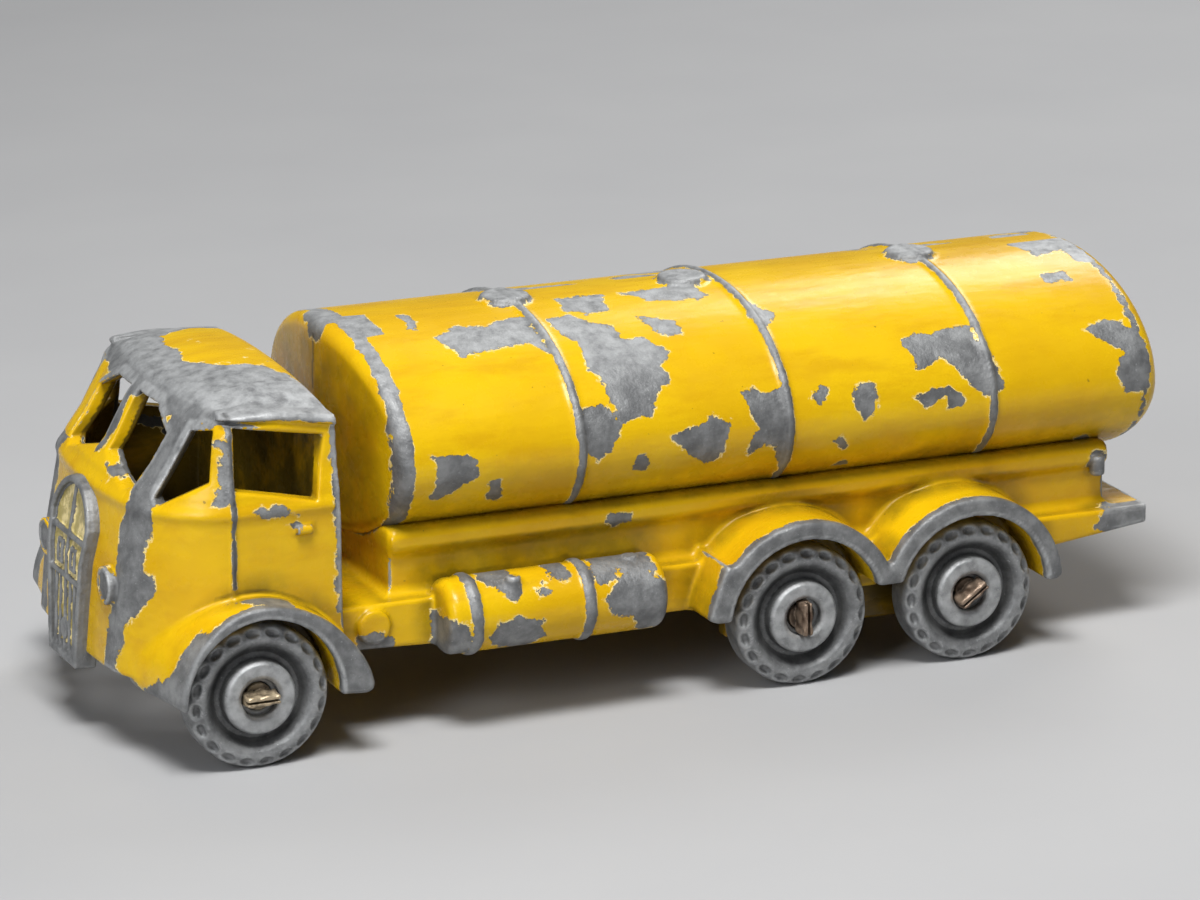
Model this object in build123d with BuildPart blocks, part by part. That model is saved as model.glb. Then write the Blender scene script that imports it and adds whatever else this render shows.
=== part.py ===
from build123d import *
import os
from math import cos, radians, sin

os.makedirs("parts", exist_ok=True)

# ---------------------------------------------------------------------------
# A two-inch die-cast toy: a three-axle road tanker lorry, in millimetres.
# +X points forward (cab), +Y to the lorry's left, +Z up. The origin is on the
# ground below the middle of the overall length. The casting stands slightly
# nose-up on its wheels, so every sketch of it is placed by level(), side() or
# cross(), which are the casting's own tilted planes.
# ---------------------------------------------------------------------------

NOSE_UP = 0.74  # degrees
CASTING_X = 0.28

# Wheels and axles
WHEEL_R = 3.2
WHEEL_T = 2.0
WHEEL_FACE_Y = 9.92
AXLE_X = {"front": 19.39, "middle": -6.25, "rear": -14.50}
AXLE_R = 0.60
RUNNING_GAP = 0.05
BORE_R = AXLE_R + RUNNING_GAP
HUB_MOUTH_R = 0.86
HUB_MOUTH_DEPTH = 0.45
CRIMP_LENGTH = 0.85
CRIMP_WIDTH = 1.56
CRIMP_THICK = 0.62
CRIMP_TURN = {"front": 0, "middle": 90, "rear": 35}
TYRE_NOTCHES = 20
NOTCH_R = 0.30

# Chassis
DECK_TOP = 5.8
DECK_THICK = 0.8
DECK_BOTTOM = 3.65
DECK_HALF = 7.9
SKIRT = 0.8
DECK_REAR_X = -22.9
PLATFORM_END_X = -24.72
BOSS_R = 0.77

# Cradle under the tank
CRADLE_HALF = 6.95
CRADLE_WALL = 1.0
CRADLE_FRONT_X = 12.1
CRADLE_REAR_X = -22.9
FLANGE_HALF = 7.35
FLANGE_BOTTOM = 7.7
FLANGE_TOP = 8.75

# Tank: an upper and a lower half ellipse joined at the widest level
TANK_HALF = 8.45
TANK_MID_Z = 11.6
TANK_RISE = 5.0
TANK_DROP = 4.3
TANK_WALL = 1.2
TANK_CORE_HALF = 5.6
TANK_REAR_X = -25.2
TANK_FRONT_X = 12.85
BARREL_FRONT_X = 11.45
BARREL_REAR_X = -23.5
FRONT_CROWN_R = 42.0
FRONT_EDGE_R = 1.2
REAR_EDGE_R = 1.3
EDGE_ANGLES = (0, 25, 50, 75, 90)
RIB_X = (3.6, -6.4, -16.45)
RIB_WIDTH = 0.42
RIB_HEIGHT = 0.16
FILLER_X = {"front": 3.75, "middle": -4.9, "rear": -16.3}
FILLER_R = 1.1
FILLER_HEIGHT = 0.28

# Side tanks
SIDE_TANK_R = 1.68
SIDE_TANK_Y = 8.3
SIDE_TANK_Z = 5.02
SIDE_TANK_FRONT_X = 10.35
SIDE_TANK_REAR_X = 0.05
STRAP_X = (9.15, 3.85)
STRAP_WIDTH = 0.5
STRAP_RISE = 0.13

# Cab: level sections, as height: (nose x, ridge x, ridge half width, door
# line x, side half width). The outline runs from the rear wall along the
# side to the door line, round the corner to the ridge, and across the nose.
CAB_REAR_X = 14.8
CAB_WALL = 0.85
CAB_BOTTOM = 3.3
CAB_BELT = 11.2
CAB_TOP = 14.9
CAB_SECTIONS = {
    3.3: (24.35, 24.15, 5.0, 19.9, 8.45),
    7.4: (24.15, 23.75, 4.9, 19.8, 8.35),
    11.2: (23.35, 22.75, 4.8, 19.7, 8.15),
    12.3: (22.45, 22.0, 4.8, 19.65, 7.95),
    14.9: (21.05, 20.4, 4.9, 19.5, 7.62),
}
ROOF_RISE = 0.75
ROOF_EAVE = 0.12
ROOF_CROWN_R = 52.0
GRILLE_RIM = 0.32
GRILLE_DEPTH = 0.22
LAMP_Y = 4.0
LAMP_Z = 6.95
LAMP_R = 0.82
LAMP_BACK_X = 23.0
LAMP_LENGTH = 1.18
GRILLE_PROUD = 0.5

# Mudguards
GUARD_FACE_Y = 10.3
GUARD_INNER_Y = 6.9
FRONT_ARCH_R = 3.6
REAR_ARCH_R = 3.7
REAR_GUARD_R = 4.5
WEB_Y = 7.3
WEB_THICK = 0.8

FORE = Vector(cos(radians(NOSE_UP)), 0, sin(radians(NOSE_UP)))
UP = Vector(-sin(radians(NOSE_UP)), 0, cos(radians(NOSE_UP)))


def at(x, y, z):
    """A point given in the casting's own coordinates."""
    return Vector(CASTING_X, y, 0) + FORE * x + UP * z


def level(z):
    """The casting's horizontal plane at height z."""
    return Plane(origin=at(0, 0, z), x_dir=FORE, z_dir=UP)


def side(y):
    """The casting's lengthwise upright plane at y; extrusions go towards -Y."""
    return Plane(origin=at(0, y, 0), x_dir=FORE, z_dir=(0, -1, 0))


def cross(x):
    """The casting's upright cross plane at x; extrusions go forward."""
    return Plane(origin=at(x, 0, 0), x_dir=(0, 1, 0), z_dir=FORE)


def axle_in_casting(name):
    """An axle centre, given on the ground's axes, in the casting's own x and z."""
    x = AXLE_X[name] - CASTING_X
    return (x * FORE.X + WHEEL_R * FORE.Z, x * UP.X + WHEEL_R * UP.Z)


def keep(part, name):
    """Labels a finished part and writes its file."""
    part.label = name
    export_step(part, f"parts/{name}.step")


# ---------------------------------------------------------------------------
# Mudguards: a curved band standing out from the body, and a web behind the
# wheel that carries the axle
# ---------------------------------------------------------------------------

FRONT_GUARD_REACH = {3: 4.38, 25: 4.36, 50: 4.27, 90: 4.12, 125: 4.24, 150: 4.55, 172: 5.0}
FRONT_GUARD_TIP = 181
front_axle = axle_in_casting("front")
middle_axle = axle_in_casting("middle")
rear_axle = axle_in_casting("rear")


def polar(center, radius, angle):
    return (center[0] + radius * cos(radians(angle)), center[1] + radius * sin(radians(angle)))


def front_guard_outer():
    return [polar(front_axle, reach, angle) for angle, reach in FRONT_GUARD_REACH.items()]


with BuildSketch() as front_arch_fill:
    with BuildLine():
        fill_edge = Spline(*front_guard_outer(), polar(front_axle, 5.15, FRONT_GUARD_TIP))
        below = Vector(0, -3)
        Polyline(fill_edge @ 1, fill_edge @ 1 + below, fill_edge @ 0 + below, fill_edge @ 0)
    make_face()

with BuildSketch() as front_guard_band:
    with BuildLine():
        outer_edge = Spline(*front_guard_outer(), polar(front_axle, 5.15, FRONT_GUARD_TIP))
        inner_edge = CenterArc(front_axle, FRONT_ARCH_R, 3, FRONT_GUARD_TIP - 3)
        Line(outer_edge @ 0, inner_edge @ 0)
        Line(inner_edge @ 1, outer_edge @ 1)
    make_face()
    fillet(front_guard_band.vertices().sort_by(Axis.X)[0:2], 0.45)

with BuildSketch() as rear_arch_fill:
    for center in (middle_axle, rear_axle):
        with Locations(center):
            Circle(REAR_GUARD_R)
            with Locations((0, -REAR_GUARD_R)):
                Rectangle(2 * REAR_GUARD_R, 2 * REAR_GUARD_R)
    valley = rear_arch_fill.vertices().group_by(Axis.Y)[-1].sort_by(Axis.X)[0]
    fillet(valley, 0.6)

REAR_GUARD_TIP_Z = 3.65
REAR_WEB_TIP_Z = 4.4
with BuildSketch() as rear_guard_band:
    add(rear_arch_fill.sketch)
    for center in (middle_axle, rear_axle):
        with Locations(center):
            Circle(REAR_ARCH_R, mode=Mode.SUBTRACT)
    with Locations((0, REAR_GUARD_TIP_Z)):
        Rectangle(80, 40, align=(Align.CENTER, Align.MAX), mode=Mode.SUBTRACT)
    with Locations(((middle_axle[0] + rear_axle[0]) / 2, REAR_WEB_TIP_Z)):
        Rectangle(3, 3, align=(Align.CENTER, Align.MAX), mode=Mode.SUBTRACT)


def web_sketch(centers, radius, bottom_z):
    """The upright wall behind one or two wheels, with its axle holes."""
    with BuildSketch() as web:
        for center in centers:
            with Locations(center):
                Circle(radius)
        if len(centers) == 2:
            middle = (centers[0][0] + centers[1][0]) / 2
            with Locations((middle, bottom_z)):
                Rectangle(abs(centers[0][0] - centers[1][0]), 3.2, align=(Align.CENTER, Align.MIN))
        with Locations((centers[0][0], bottom_z)):
            Rectangle(80, 40, align=(Align.CENTER, Align.MAX), mode=Mode.SUBTRACT)
        for center in centers:
            with Locations(center):
                Circle(BORE_R, mode=Mode.SUBTRACT)
    return web.sketch


front_web = web_sketch([front_axle], FRONT_ARCH_R + 0.05, 1.9)
rear_web = web_sketch([middle_axle, rear_axle], REAR_ARCH_R + 0.05, 1.9)


# What the front mudguards' swept-back leading ends leave out, as seen from above
GUARD_SWEEP = (
    (23.75, 6.9),
    (22.95, GUARD_FACE_Y),
    (22.6, GUARD_FACE_Y + 1),
    (26.0, GUARD_FACE_Y + 1),
    (26.0, 6.9),
)
GUARD_SWEEP_TOP = 6.5


def guard_parts(band, web):
    """The same mudguard on both sides, as {side name: part}."""
    made = {}
    for name, sign in (("left", 1), ("right", -1)):
        with BuildPart() as guard:
            with BuildSketch(side(sign * GUARD_FACE_Y)):
                add(band)
            extrude(amount=sign * (GUARD_FACE_Y - GUARD_INNER_Y))
            with BuildSketch(level(0)):
                with BuildLine():
                    Polyline(*[(x, sign * y) for x, y in GUARD_SWEEP], close=True)
                make_face()
            extrude(amount=GUARD_SWEEP_TOP, mode=Mode.SUBTRACT)
            with BuildSketch(side(sign * WEB_Y)):
                add(web)
            extrude(amount=sign * WEB_THICK)
        made[name] = guard.part
    return made


front_guards = guard_parts(front_guard_band.sketch, front_web)
rear_guards = guard_parts(rear_guard_band.sketch, rear_web)
for side_name, guard_part in front_guards.items():
    keep(guard_part, f"front_mudguard_{side_name}")

# Each double rear mudguard is two nodes that meet halfway between its axles
GUARD_JOINT_X = (middle_axle[0] + rear_axle[0]) / 2
for side_name, guard_part in rear_guards.items():
    for axle_name, kept_half in (("middle", Keep.TOP), ("rear", Keep.BOTTOM)):
        with BuildPart() as arch:
            add(guard_part)
            split(bisect_by=cross(GUARD_JOINT_X), keep=kept_half)
        keep(arch.part, f"{axle_name}_mudguard_{side_name}")

# The room that the mudguards and wheels take out of the body's sides
with BuildPart() as arch_room:
    for sign in (1, -1):
        with BuildSketch(side(sign * (GUARD_FACE_Y + 1))):
            add(front_arch_fill.sketch)
            add(rear_arch_fill.sketch)
        extrude(amount=sign * (GUARD_FACE_Y + 1 - GUARD_INNER_Y))
        with BuildSketch(side(sign * GUARD_INNER_Y)):
            for center, radius in (
                (front_axle, FRONT_ARCH_R),
                (middle_axle, REAR_ARCH_R),
                (rear_axle, REAR_ARCH_R),
            ):
                with Locations(center):
                    Circle(radius + 0.05)
                with Locations((center[0], 1.9)):
                    Rectangle(2 * radius, 3.2, align=(Align.CENTER, Align.MIN))
            with Locations(((middle_axle[0] + rear_axle[0]) / 2, 1.9)):
                Rectangle(8, 3.2, align=(Align.CENTER, Align.MIN))
        extrude(amount=sign * (GUARD_INNER_Y - WEB_Y + WEB_THICK))

# ---------------------------------------------------------------------------
# Chassis deck: an upside-down tray, open through the middle below the tank
# ---------------------------------------------------------------------------

TANK_CORE_FRONT_X = CRADLE_FRONT_X - CRADLE_WALL
TANK_CORE_REAR_X = CRADLE_REAR_X + CRADLE_WALL

with BuildPart() as chassis:
    with BuildSketch(side(0)):
        with BuildLine():
            Polyline(
                (CAB_REAR_X, DECK_TOP),
                (CAB_REAR_X, DECK_BOTTOM + 0.2),
                (10.0, DECK_BOTTOM),
                (-17.0, DECK_BOTTOM),
                (-19.2, 4.3),
                (DECK_REAR_X, 4.55),
                (DECK_REAR_X, DECK_TOP),
                close=True,
            )
        make_face()
    extrude(amount=DECK_HALF, both=True)
    with BuildSketch(level(0)):
        with Locations(((CAB_REAR_X + DECK_REAR_X) / 2, 0)):
            Rectangle(CAB_REAR_X - DECK_REAR_X - 2 * SKIRT, 2 * (DECK_HALF - SKIRT))
    extrude(amount=DECK_TOP - DECK_THICK, mode=Mode.SUBTRACT)
    with BuildSketch(level(0)):
        with Locations(((TANK_CORE_FRONT_X + TANK_CORE_REAR_X) / 2, 0)):
            Rectangle(TANK_CORE_FRONT_X - TANK_CORE_REAR_X, 2 * (CRADLE_HALF - CRADLE_WALL))
    extrude(amount=DECK_TOP + 1, mode=Mode.SUBTRACT)
    add(arch_room.part, mode=Mode.SUBTRACT)
keep(chassis.part, "chassis_deck")

with BuildPart() as platform:
    with BuildSketch(side(0)):
        with BuildLine():
            Polyline(
                (DECK_REAR_X, DECK_TOP),
                (PLATFORM_END_X, DECK_TOP),
                (PLATFORM_END_X, DECK_TOP - 0.85),
                (DECK_REAR_X, 4.55),
                close=True,
            )
        make_face()
    extrude(amount=DECK_HALF, both=True)
    fillet(platform.edges().filter_by(Axis.Y).group_by(Axis.X)[0], 0.3)
keep(platform.part, "rear_platform")

with BuildPart() as bosses:
    for sign in (1, -1):
        with BuildSketch(side(sign * DECK_HALF)):
            with Locations((13.25, 4.85)):
                Circle(BOSS_R)
        extrude(amount=-sign * 0.28)
        chamfer(bosses.edges().filter_by(GeomType.CIRCLE).sort_by(Axis.Y)[-1 if sign > 0 else 0], 0.1)
keep(bosses.part, "chassis_bosses")

# ---------------------------------------------------------------------------
# Tank
# ---------------------------------------------------------------------------


def tank_outline(plane, grow=0.0):
    """The tank's cross-section on a plane, grown or shrunk all round."""
    with BuildSketch(plane) as outline:
        with BuildLine():
            EllipticalCenterArc(
                (0, TANK_MID_Z), TANK_HALF + grow, TANK_RISE + grow, start_angle=0, arc_size=180
            )
            EllipticalCenterArc(
                (0, TANK_MID_Z), TANK_HALF + grow, TANK_DROP + grow, start_angle=180, arc_size=180
            )
        make_face()
    return outline.sketch


with BuildPart() as barrel:
    add(tank_outline(cross(BARREL_REAR_X)))
    extrude(amount=BARREL_FRONT_X - BARREL_REAR_X, dir=FORE)
    add(tank_outline(cross(BARREL_REAR_X), -TANK_WALL))
    extrude(amount=BARREL_FRONT_X - BARREL_REAR_X, dir=FORE, mode=Mode.SUBTRACT)
    with BuildSketch(level(0)):
        with Locations(((TANK_CORE_FRONT_X + TANK_CORE_REAR_X) / 2, 0)):
            Rectangle(TANK_CORE_FRONT_X - TANK_CORE_REAR_X, 2 * TANK_CORE_HALF)
    extrude(amount=TANK_MID_Z, mode=Mode.SUBTRACT)
keep(barrel.part, "tank_barrel")


def rounded_end(seam_x, end_x, edge_r):
    """A tank end from its seam with the barrel to its face, with a rounded edge."""
    direction = 1 if end_x > seam_x else -1
    with BuildPart() as end:
        add(tank_outline(cross(min(seam_x, end_x - direction * edge_r))))
        extrude(amount=abs(end_x - seam_x) - edge_r, dir=FORE)
    with BuildPart() as edge:
        for angle in EDGE_ANGLES:
            plane = cross(end_x - direction * edge_r * (1 - sin(radians(angle))))
            add(tank_outline(plane, -edge_r * (1 - cos(radians(angle)))))
        loft()
    return end.part + edge.part


with BuildPart() as front_end:
    add(rounded_end(BARREL_FRONT_X, TANK_FRONT_X, FRONT_EDGE_R))
    with BuildSketch(level(0)):
        with Locations((TANK_FRONT_X - FRONT_CROWN_R, 0)):
            Circle(FRONT_CROWN_R)
    extrude(amount=30, mode=Mode.INTERSECT)
keep(front_end.part, "tank_front_end")

with BuildPart() as rear_end:
    add(rounded_end(BARREL_REAR_X, TANK_REAR_X, REAR_EDGE_R))
keep(rear_end.part, "tank_rear_end")

ribs = []
for number, rib_x in enumerate(RIB_X, start=1):
    with BuildPart() as rib:
        add(tank_outline(cross(rib_x - RIB_WIDTH / 2), RIB_HEIGHT))
        extrude(amount=RIB_WIDTH, dir=FORE)
        add(tank_outline(cross(rib_x - RIB_WIDTH)))
        extrude(amount=2 * RIB_WIDTH, dir=FORE, mode=Mode.SUBTRACT)
        with BuildSketch(level(0)):
            with Locations((rib_x, 0)):
                Rectangle(4, 40)
        extrude(amount=FLANGE_TOP, mode=Mode.SUBTRACT)
    ribs.append(rib.part)
    keep(rib.part, f"tank_rib_{number}")

for filler_name, filler_x in FILLER_X.items():
    with BuildPart() as filler:
        with BuildSketch(level(TANK_MID_Z + TANK_RISE - 0.4)):
            with Locations((filler_x, 0)):
                Circle(FILLER_R)
        extrude(amount=0.4 + FILLER_HEIGHT)
        chamfer(filler.edges().filter_by(GeomType.CIRCLE).sort_by(Axis.Z)[-1], 0.14)
        add(barrel.part, mode=Mode.SUBTRACT)
        for rib_part in ribs:
            add(rib_part, mode=Mode.SUBTRACT)
    keep(filler.part, f"filler_cap_{filler_name}")

# ---------------------------------------------------------------------------
# Cradle: the walls and the flange that carry the tank
# ---------------------------------------------------------------------------

with BuildPart() as cradle:
    with BuildSketch(level(DECK_TOP)):
        with Locations(((CRADLE_FRONT_X + CRADLE_REAR_X) / 2, 0)):
            Rectangle(CRADLE_FRONT_X - CRADLE_REAR_X, 2 * CRADLE_HALF)
    extrude(amount=FLANGE_TOP - DECK_TOP)
    with BuildSketch(level(FLANGE_BOTTOM)):
        with Locations(((CRADLE_FRONT_X + CRADLE_REAR_X) / 2, 0)):
            Rectangle(CRADLE_FRONT_X - CRADLE_REAR_X, 2 * FLANGE_HALF)
    extrude(amount=FLANGE_TOP - FLANGE_BOTTOM)
    with BuildSketch(level(DECK_TOP)):
        with Locations(((TANK_CORE_FRONT_X + TANK_CORE_REAR_X) / 2, 0)):
            Rectangle(TANK_CORE_FRONT_X - TANK_CORE_REAR_X, 2 * (CRADLE_HALF - CRADLE_WALL))
    extrude(amount=10, mode=Mode.SUBTRACT)
    add(tank_outline(cross(TANK_REAR_X - 1)))
    extrude(amount=TANK_FRONT_X - TANK_REAR_X + 2, dir=FORE, mode=Mode.SUBTRACT)
    add(arch_room.part, mode=Mode.SUBTRACT)
keep(cradle.part, "tank_cradle")

with BuildPart() as lugs:
    for sign in (1, -1):
        with BuildSketch(level(FLANGE_BOTTOM - 0.35)):
            with Locations((CRADLE_REAR_X + 0.55, sign * (FLANGE_HALF + 0.05))):
                Circle(0.34)
        extrude(amount=0.95)
    fillet(lugs.edges().filter_by(GeomType.CIRCLE).group_by(Axis.Z)[0], 0.25)
    add(cradle.part, mode=Mode.SUBTRACT)
    add(barrel.part, mode=Mode.SUBTRACT)
keep(lugs.part, "tail_lugs")

# ---------------------------------------------------------------------------
# Side tanks, held to the chassis by two straps each
# ---------------------------------------------------------------------------

for side_name, sign in (("left", 1), ("right", -1)):
    tank_axis_origin = at(0, sign * SIDE_TANK_Y, SIDE_TANK_Z)
    with BuildPart() as side_tank:
        with BuildSketch(Plane(origin=tank_axis_origin, x_dir=FORE, z_dir=(0, -1, 0))) as profile:
            with Locations(((SIDE_TANK_FRONT_X + SIDE_TANK_REAR_X) / 2, 0)):
                Rectangle(
                    SIDE_TANK_FRONT_X - SIDE_TANK_REAR_X,
                    SIDE_TANK_R,
                    align=(Align.CENTER, Align.MIN),
                )
            fillet(profile.vertices().group_by(Axis.Y)[-1], 0.45)
            for strap_x in STRAP_X:
                with Locations((strap_x, 0)):
                    Rectangle(STRAP_WIDTH, SIDE_TANK_R + STRAP_RISE, align=(Align.CENTER, Align.MIN))
        revolve(axis=Axis(tank_axis_origin, FORE))
        with BuildSketch(level(SIDE_TANK_Z)):
            with Locations((7.2, sign * (SIDE_TANK_Y + 0.9)), (1.35, sign * (SIDE_TANK_Y + 0.1))):
                Circle(0.3)
        extrude(amount=SIDE_TANK_R + 0.05)
        add(chassis.part, mode=Mode.SUBTRACT)
        with BuildSketch(level(0)):
            with Locations((5, 0)):
                Rectangle(20, 2 * DECK_HALF)
        extrude(amount=20, mode=Mode.SUBTRACT)
    keep(side_tank.part, f"side_tank_{side_name}")

# ---------------------------------------------------------------------------
# Cab
# ---------------------------------------------------------------------------


def cab_outline(z, inset=0.0, outset=0.0):
    """The cab's outline at one of its section heights, on that level plane."""
    nose, ridge, ridge_half, door, side_half = CAB_SECTIONS[z]
    grow = outset - inset
    rear = CAB_REAR_X - grow
    with BuildSketch(level(z)) as outline:
        with BuildLine():
            wall = Polyline((rear, 0), (rear, side_half + grow), (door, side_half + grow))
            corner = Spline(
                wall @ 1,
                (ridge + grow, ridge_half),
                tangents=[(1, -0.04), (0.22, -1)],
                tangent_scalars=[1.35, 0.9],
            )
            Spline(corner @ 1, (nose + grow, 0), tangents=[(0.22, -1), (0, -1)])
            mirror(about=Plane.XZ)
        make_face()
    return outline.sketch


def cab_body(inset=0.0):
    """The cab's solid envelope, from its open bottom to the roof line."""
    with BuildPart() as lower:
        for z in (CAB_BOTTOM, 7.4, CAB_BELT):
            add(cab_outline(z, inset))
        loft()
    with BuildPart() as middle:
        for z in (CAB_BELT, 12.3):
            add(cab_outline(z, inset))
        loft()
    with BuildPart() as upper:
        for z in (12.3, CAB_TOP):
            add(cab_outline(z, inset))
        loft()
    return lower.part + middle.part + upper.part


with BuildSketch() as door_window:
    with BuildLine():
        Polyline((19.3, 14.6), (15.45, 13.95), (15.9, 11.0), (19.45, 11.75), close=True)
    make_face()
    fillet(door_window.vertices(), 0.4)

with BuildSketch() as front_pane:
    with BuildLine():
        Polyline(
            (0.55, 14.55),
            (2.6, 14.6),
            (4.35, 13.75),
            (4.25, 11.35),
            (3.7, 11.15),
            (0.6, 12.0),
            close=True,
        )
    make_face()
    fillet(front_pane.vertices(), 0.25)

with BuildSketch() as corner_pane:
    with BuildLine():
        Polyline((0.2, 14.45), (1.35, 14.6), (1.4, 12.1), (-0.75, 11.0), (-0.95, 11.2), close=True)
    make_face()
    fillet(corner_pane.vertices(), 0.18)

outer_cab = cab_body()
inner_cab = cab_body(CAB_WALL)

with BuildPart() as cab:
    add(outer_cab)
    add(inner_cab, mode=Mode.SUBTRACT)
    with BuildSketch(cross(17.0)):
        add(front_pane.sketch)
        mirror(front_pane.sketch, about=Plane.YZ)
    extrude(amount=10, mode=Mode.SUBTRACT)
    for sign in (1, -1):
        with BuildSketch(side(sign * 10)):
            add(door_window.sketch)
        extrude(amount=sign * 5, mode=Mode.SUBTRACT)
        outward = FORE * 0.707 + Vector(0, sign * 0.707, 0)
        along = FORE * -0.707 + Vector(0, sign * 0.707, 0)
        pane_origin = at(21.6, sign * 6.6, 0)
        pane_plane = Plane(origin=pane_origin, x_dir=along, z_dir=outward * sign)
        with BuildSketch(pane_plane):
            if sign > 0:
                add(corner_pane.sketch)
            else:
                mirror(corner_pane.sketch, about=Plane.XZ)
        extrude(amount=3, both=True, mode=Mode.SUBTRACT)
    add(arch_room.part, mode=Mode.SUBTRACT)
    add(chassis.part, mode=Mode.SUBTRACT)
keep(cab.part, "cab_shell")

with BuildPart() as roof:
    add(cab_outline(CAB_TOP, outset=ROOF_EAVE))
    extrude(amount=ROOF_RISE + 0.3, dir=UP)
    with BuildSketch(side(0)):
        with BuildLine():
            crown = Spline((CAB_REAR_X - 0.5, 15.45), (17.0, 15.72), (19.6, 15.5), (22.0, 14.9))
            Polyline(crown @ 1, (22.0, 14.0), (CAB_REAR_X - 0.5, 14.0), crown @ 0)
        make_face()
    extrude(amount=12, both=True, mode=Mode.INTERSECT)
    with BuildSketch(cross(CAB_REAR_X - 1)):
        with Locations((0, 15.75 - ROOF_CROWN_R)):
            Circle(ROOF_CROWN_R)
    extrude(amount=12, mode=Mode.INTERSECT)
keep(roof.part, "cab_roof")

with BuildPart() as drip_rails:
    for sign in (1, -1):
        with BuildSketch(side(sign * 8.35)):
            with BuildLine():
                Polyline(
                    (20.0, 15.1),
                    (17.5, 15.0),
                    (14.85, 14.5),
                    (14.85, 14.25),
                    (17.5, 14.75),
                    (20.0, 14.85),
                    close=True,
                )
            make_face()
        extrude(amount=sign * 0.95)
    add(outer_cab, mode=Mode.SUBTRACT)
    add(roof.part, mode=Mode.SUBTRACT)
keep(drip_rails.part, "drip_rails")

with BuildPart() as handles:
    for sign in (1, -1):
        with BuildSketch(side(sign * 8.62)):
            with Locations((16.1, 9.75)):
                RectangleRounded(0.8, 0.26, 0.12)
        extrude(amount=sign * 0.6)
    add(outer_cab, mode=Mode.SUBTRACT)
keep(handles.part, "door_handles")

for side_name, sign in (("left", 1), ("right", -1)):
    lamp_origin = at(LAMP_BACK_X, sign * LAMP_Y, LAMP_Z)
    with BuildPart() as lamp:
        with BuildSketch(Plane(origin=lamp_origin, x_dir=(0, 1, 0), z_dir=FORE)):
            Circle(LAMP_R)
        extrude(amount=LAMP_LENGTH)
        fillet(lamp.edges().filter_by(GeomType.CIRCLE).sort_by(Axis.X)[-1], 0.22)
        add(outer_cab, mode=Mode.SUBTRACT)
    keep(lamp.part, f"headlamp_{side_name}")

# Radiator: a shield with a raised rim round an upper badge panel, a middle
# panel and a lower run of upright bars

GRILLE_APEX = 10.75
GRILLE_SHOULDER = (2.5, 8.9)
GRILLE_WAIST = (2.05, 5.2)
GRILLE_FOOT = (1.8, 2.6)


def grille_face(shrink):
    """The radiator's shield, shrunk all round, in cross-plane coordinates."""
    half = [
        (x - shrink, z + (shrink if z == GRILLE_FOOT[1] else 0))
        for x, z in (GRILLE_SHOULDER, GRILLE_WAIST, GRILLE_FOOT)
    ]
    other_half = [(-x, z) for x, z in reversed(half)]
    with BuildSketch() as face:
        with BuildLine():
            Polyline(*half, *other_half)
            ThreePointArc(other_half[-1], (0, GRILLE_APEX - shrink), half[0])
        make_face()
    return face.sketch


def nose_slab(back, front):
    """A slab that follows the slope of the nose between two distances from it."""
    slope = ((2.0, 24.38), (3.3, 24.35), (7.4, 24.15), (11.2, 23.35))
    front_line = [(x + front, z) for z, x in slope]
    back_line = [(x + back, z) for z, x in reversed(slope)]
    with BuildPart() as slab:
        with BuildSketch(side(0)):
            with BuildLine():
                Polyline(*front_line, *back_line, close=True)
            make_face()
        extrude(amount=6, both=True)
    return slab.part


def shield(shrink, back, front):
    """The radiator's shield between two distances from the nose."""
    with BuildPart() as shield_slab:
        with BuildSketch(cross(20.5)):
            add(grille_face(shrink))
        extrude(amount=6)
        add(nose_slab(back, front), mode=Mode.INTERSECT)
    return shield_slab.part


with BuildPart() as grille_bars:
    with BuildSketch(cross(20.5)):
        with Locations((0, 7.0)):
            Rectangle(0.2, 8.8)
        with Locations((0, 8.35), (0, 6.25), (0, 3.1)):
            Rectangle(4.6, 0.22)
        with Locations((-0.95, 4.6), (-0.48, 4.6), (0.48, 4.6), (0.95, 4.6)):
            Rectangle(0.16, 3.2)
        with Locations((-1.0, 9.5), (1.0, 9.5)):
            Rectangle(0.16, 2.2)
        with Locations((0, 3.9)):
            Circle(0.42)
    extrude(amount=6)
    add(shield(GRILLE_RIM / 2, 0.1, GRILLE_PROUD - 0.08), mode=Mode.INTERSECT)

with BuildPart() as grille:
    add(shield(0, -0.4, GRILLE_PROUD))
    add(shield(GRILLE_RIM, GRILLE_PROUD - GRILLE_DEPTH, GRILLE_PROUD + 1), mode=Mode.SUBTRACT)
    add(grille_bars.part)
    add(cab.part, mode=Mode.SUBTRACT)
keep(grille.part, "radiator_grille")

# ---------------------------------------------------------------------------
# Axles and wheels, on the ground's own axes
# ---------------------------------------------------------------------------

HUB_FLOOR_Y = WHEEL_FACE_Y - HUB_MOUTH_DEPTH
CRIMP_START_Y = HUB_FLOOR_Y + 0.03

for name, x in AXLE_X.items():
    with BuildPart() as axle:
        with BuildSketch(Plane.XZ):
            with Locations((x, WHEEL_R)):
                Circle(AXLE_R)
        extrude(amount=CRIMP_START_Y, both=True)
        for sign in (1, -1):
            with BuildSketch(Plane.XZ.offset(-sign * CRIMP_START_Y)):
                with Locations(Location((x, WHEEL_R), CRIMP_TURN[name])):
                    RectangleRounded(CRIMP_WIDTH, CRIMP_THICK, 0.2)
            extrude(amount=-sign * CRIMP_LENGTH)
    keep(axle.part, f"{name}_axle")

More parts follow.
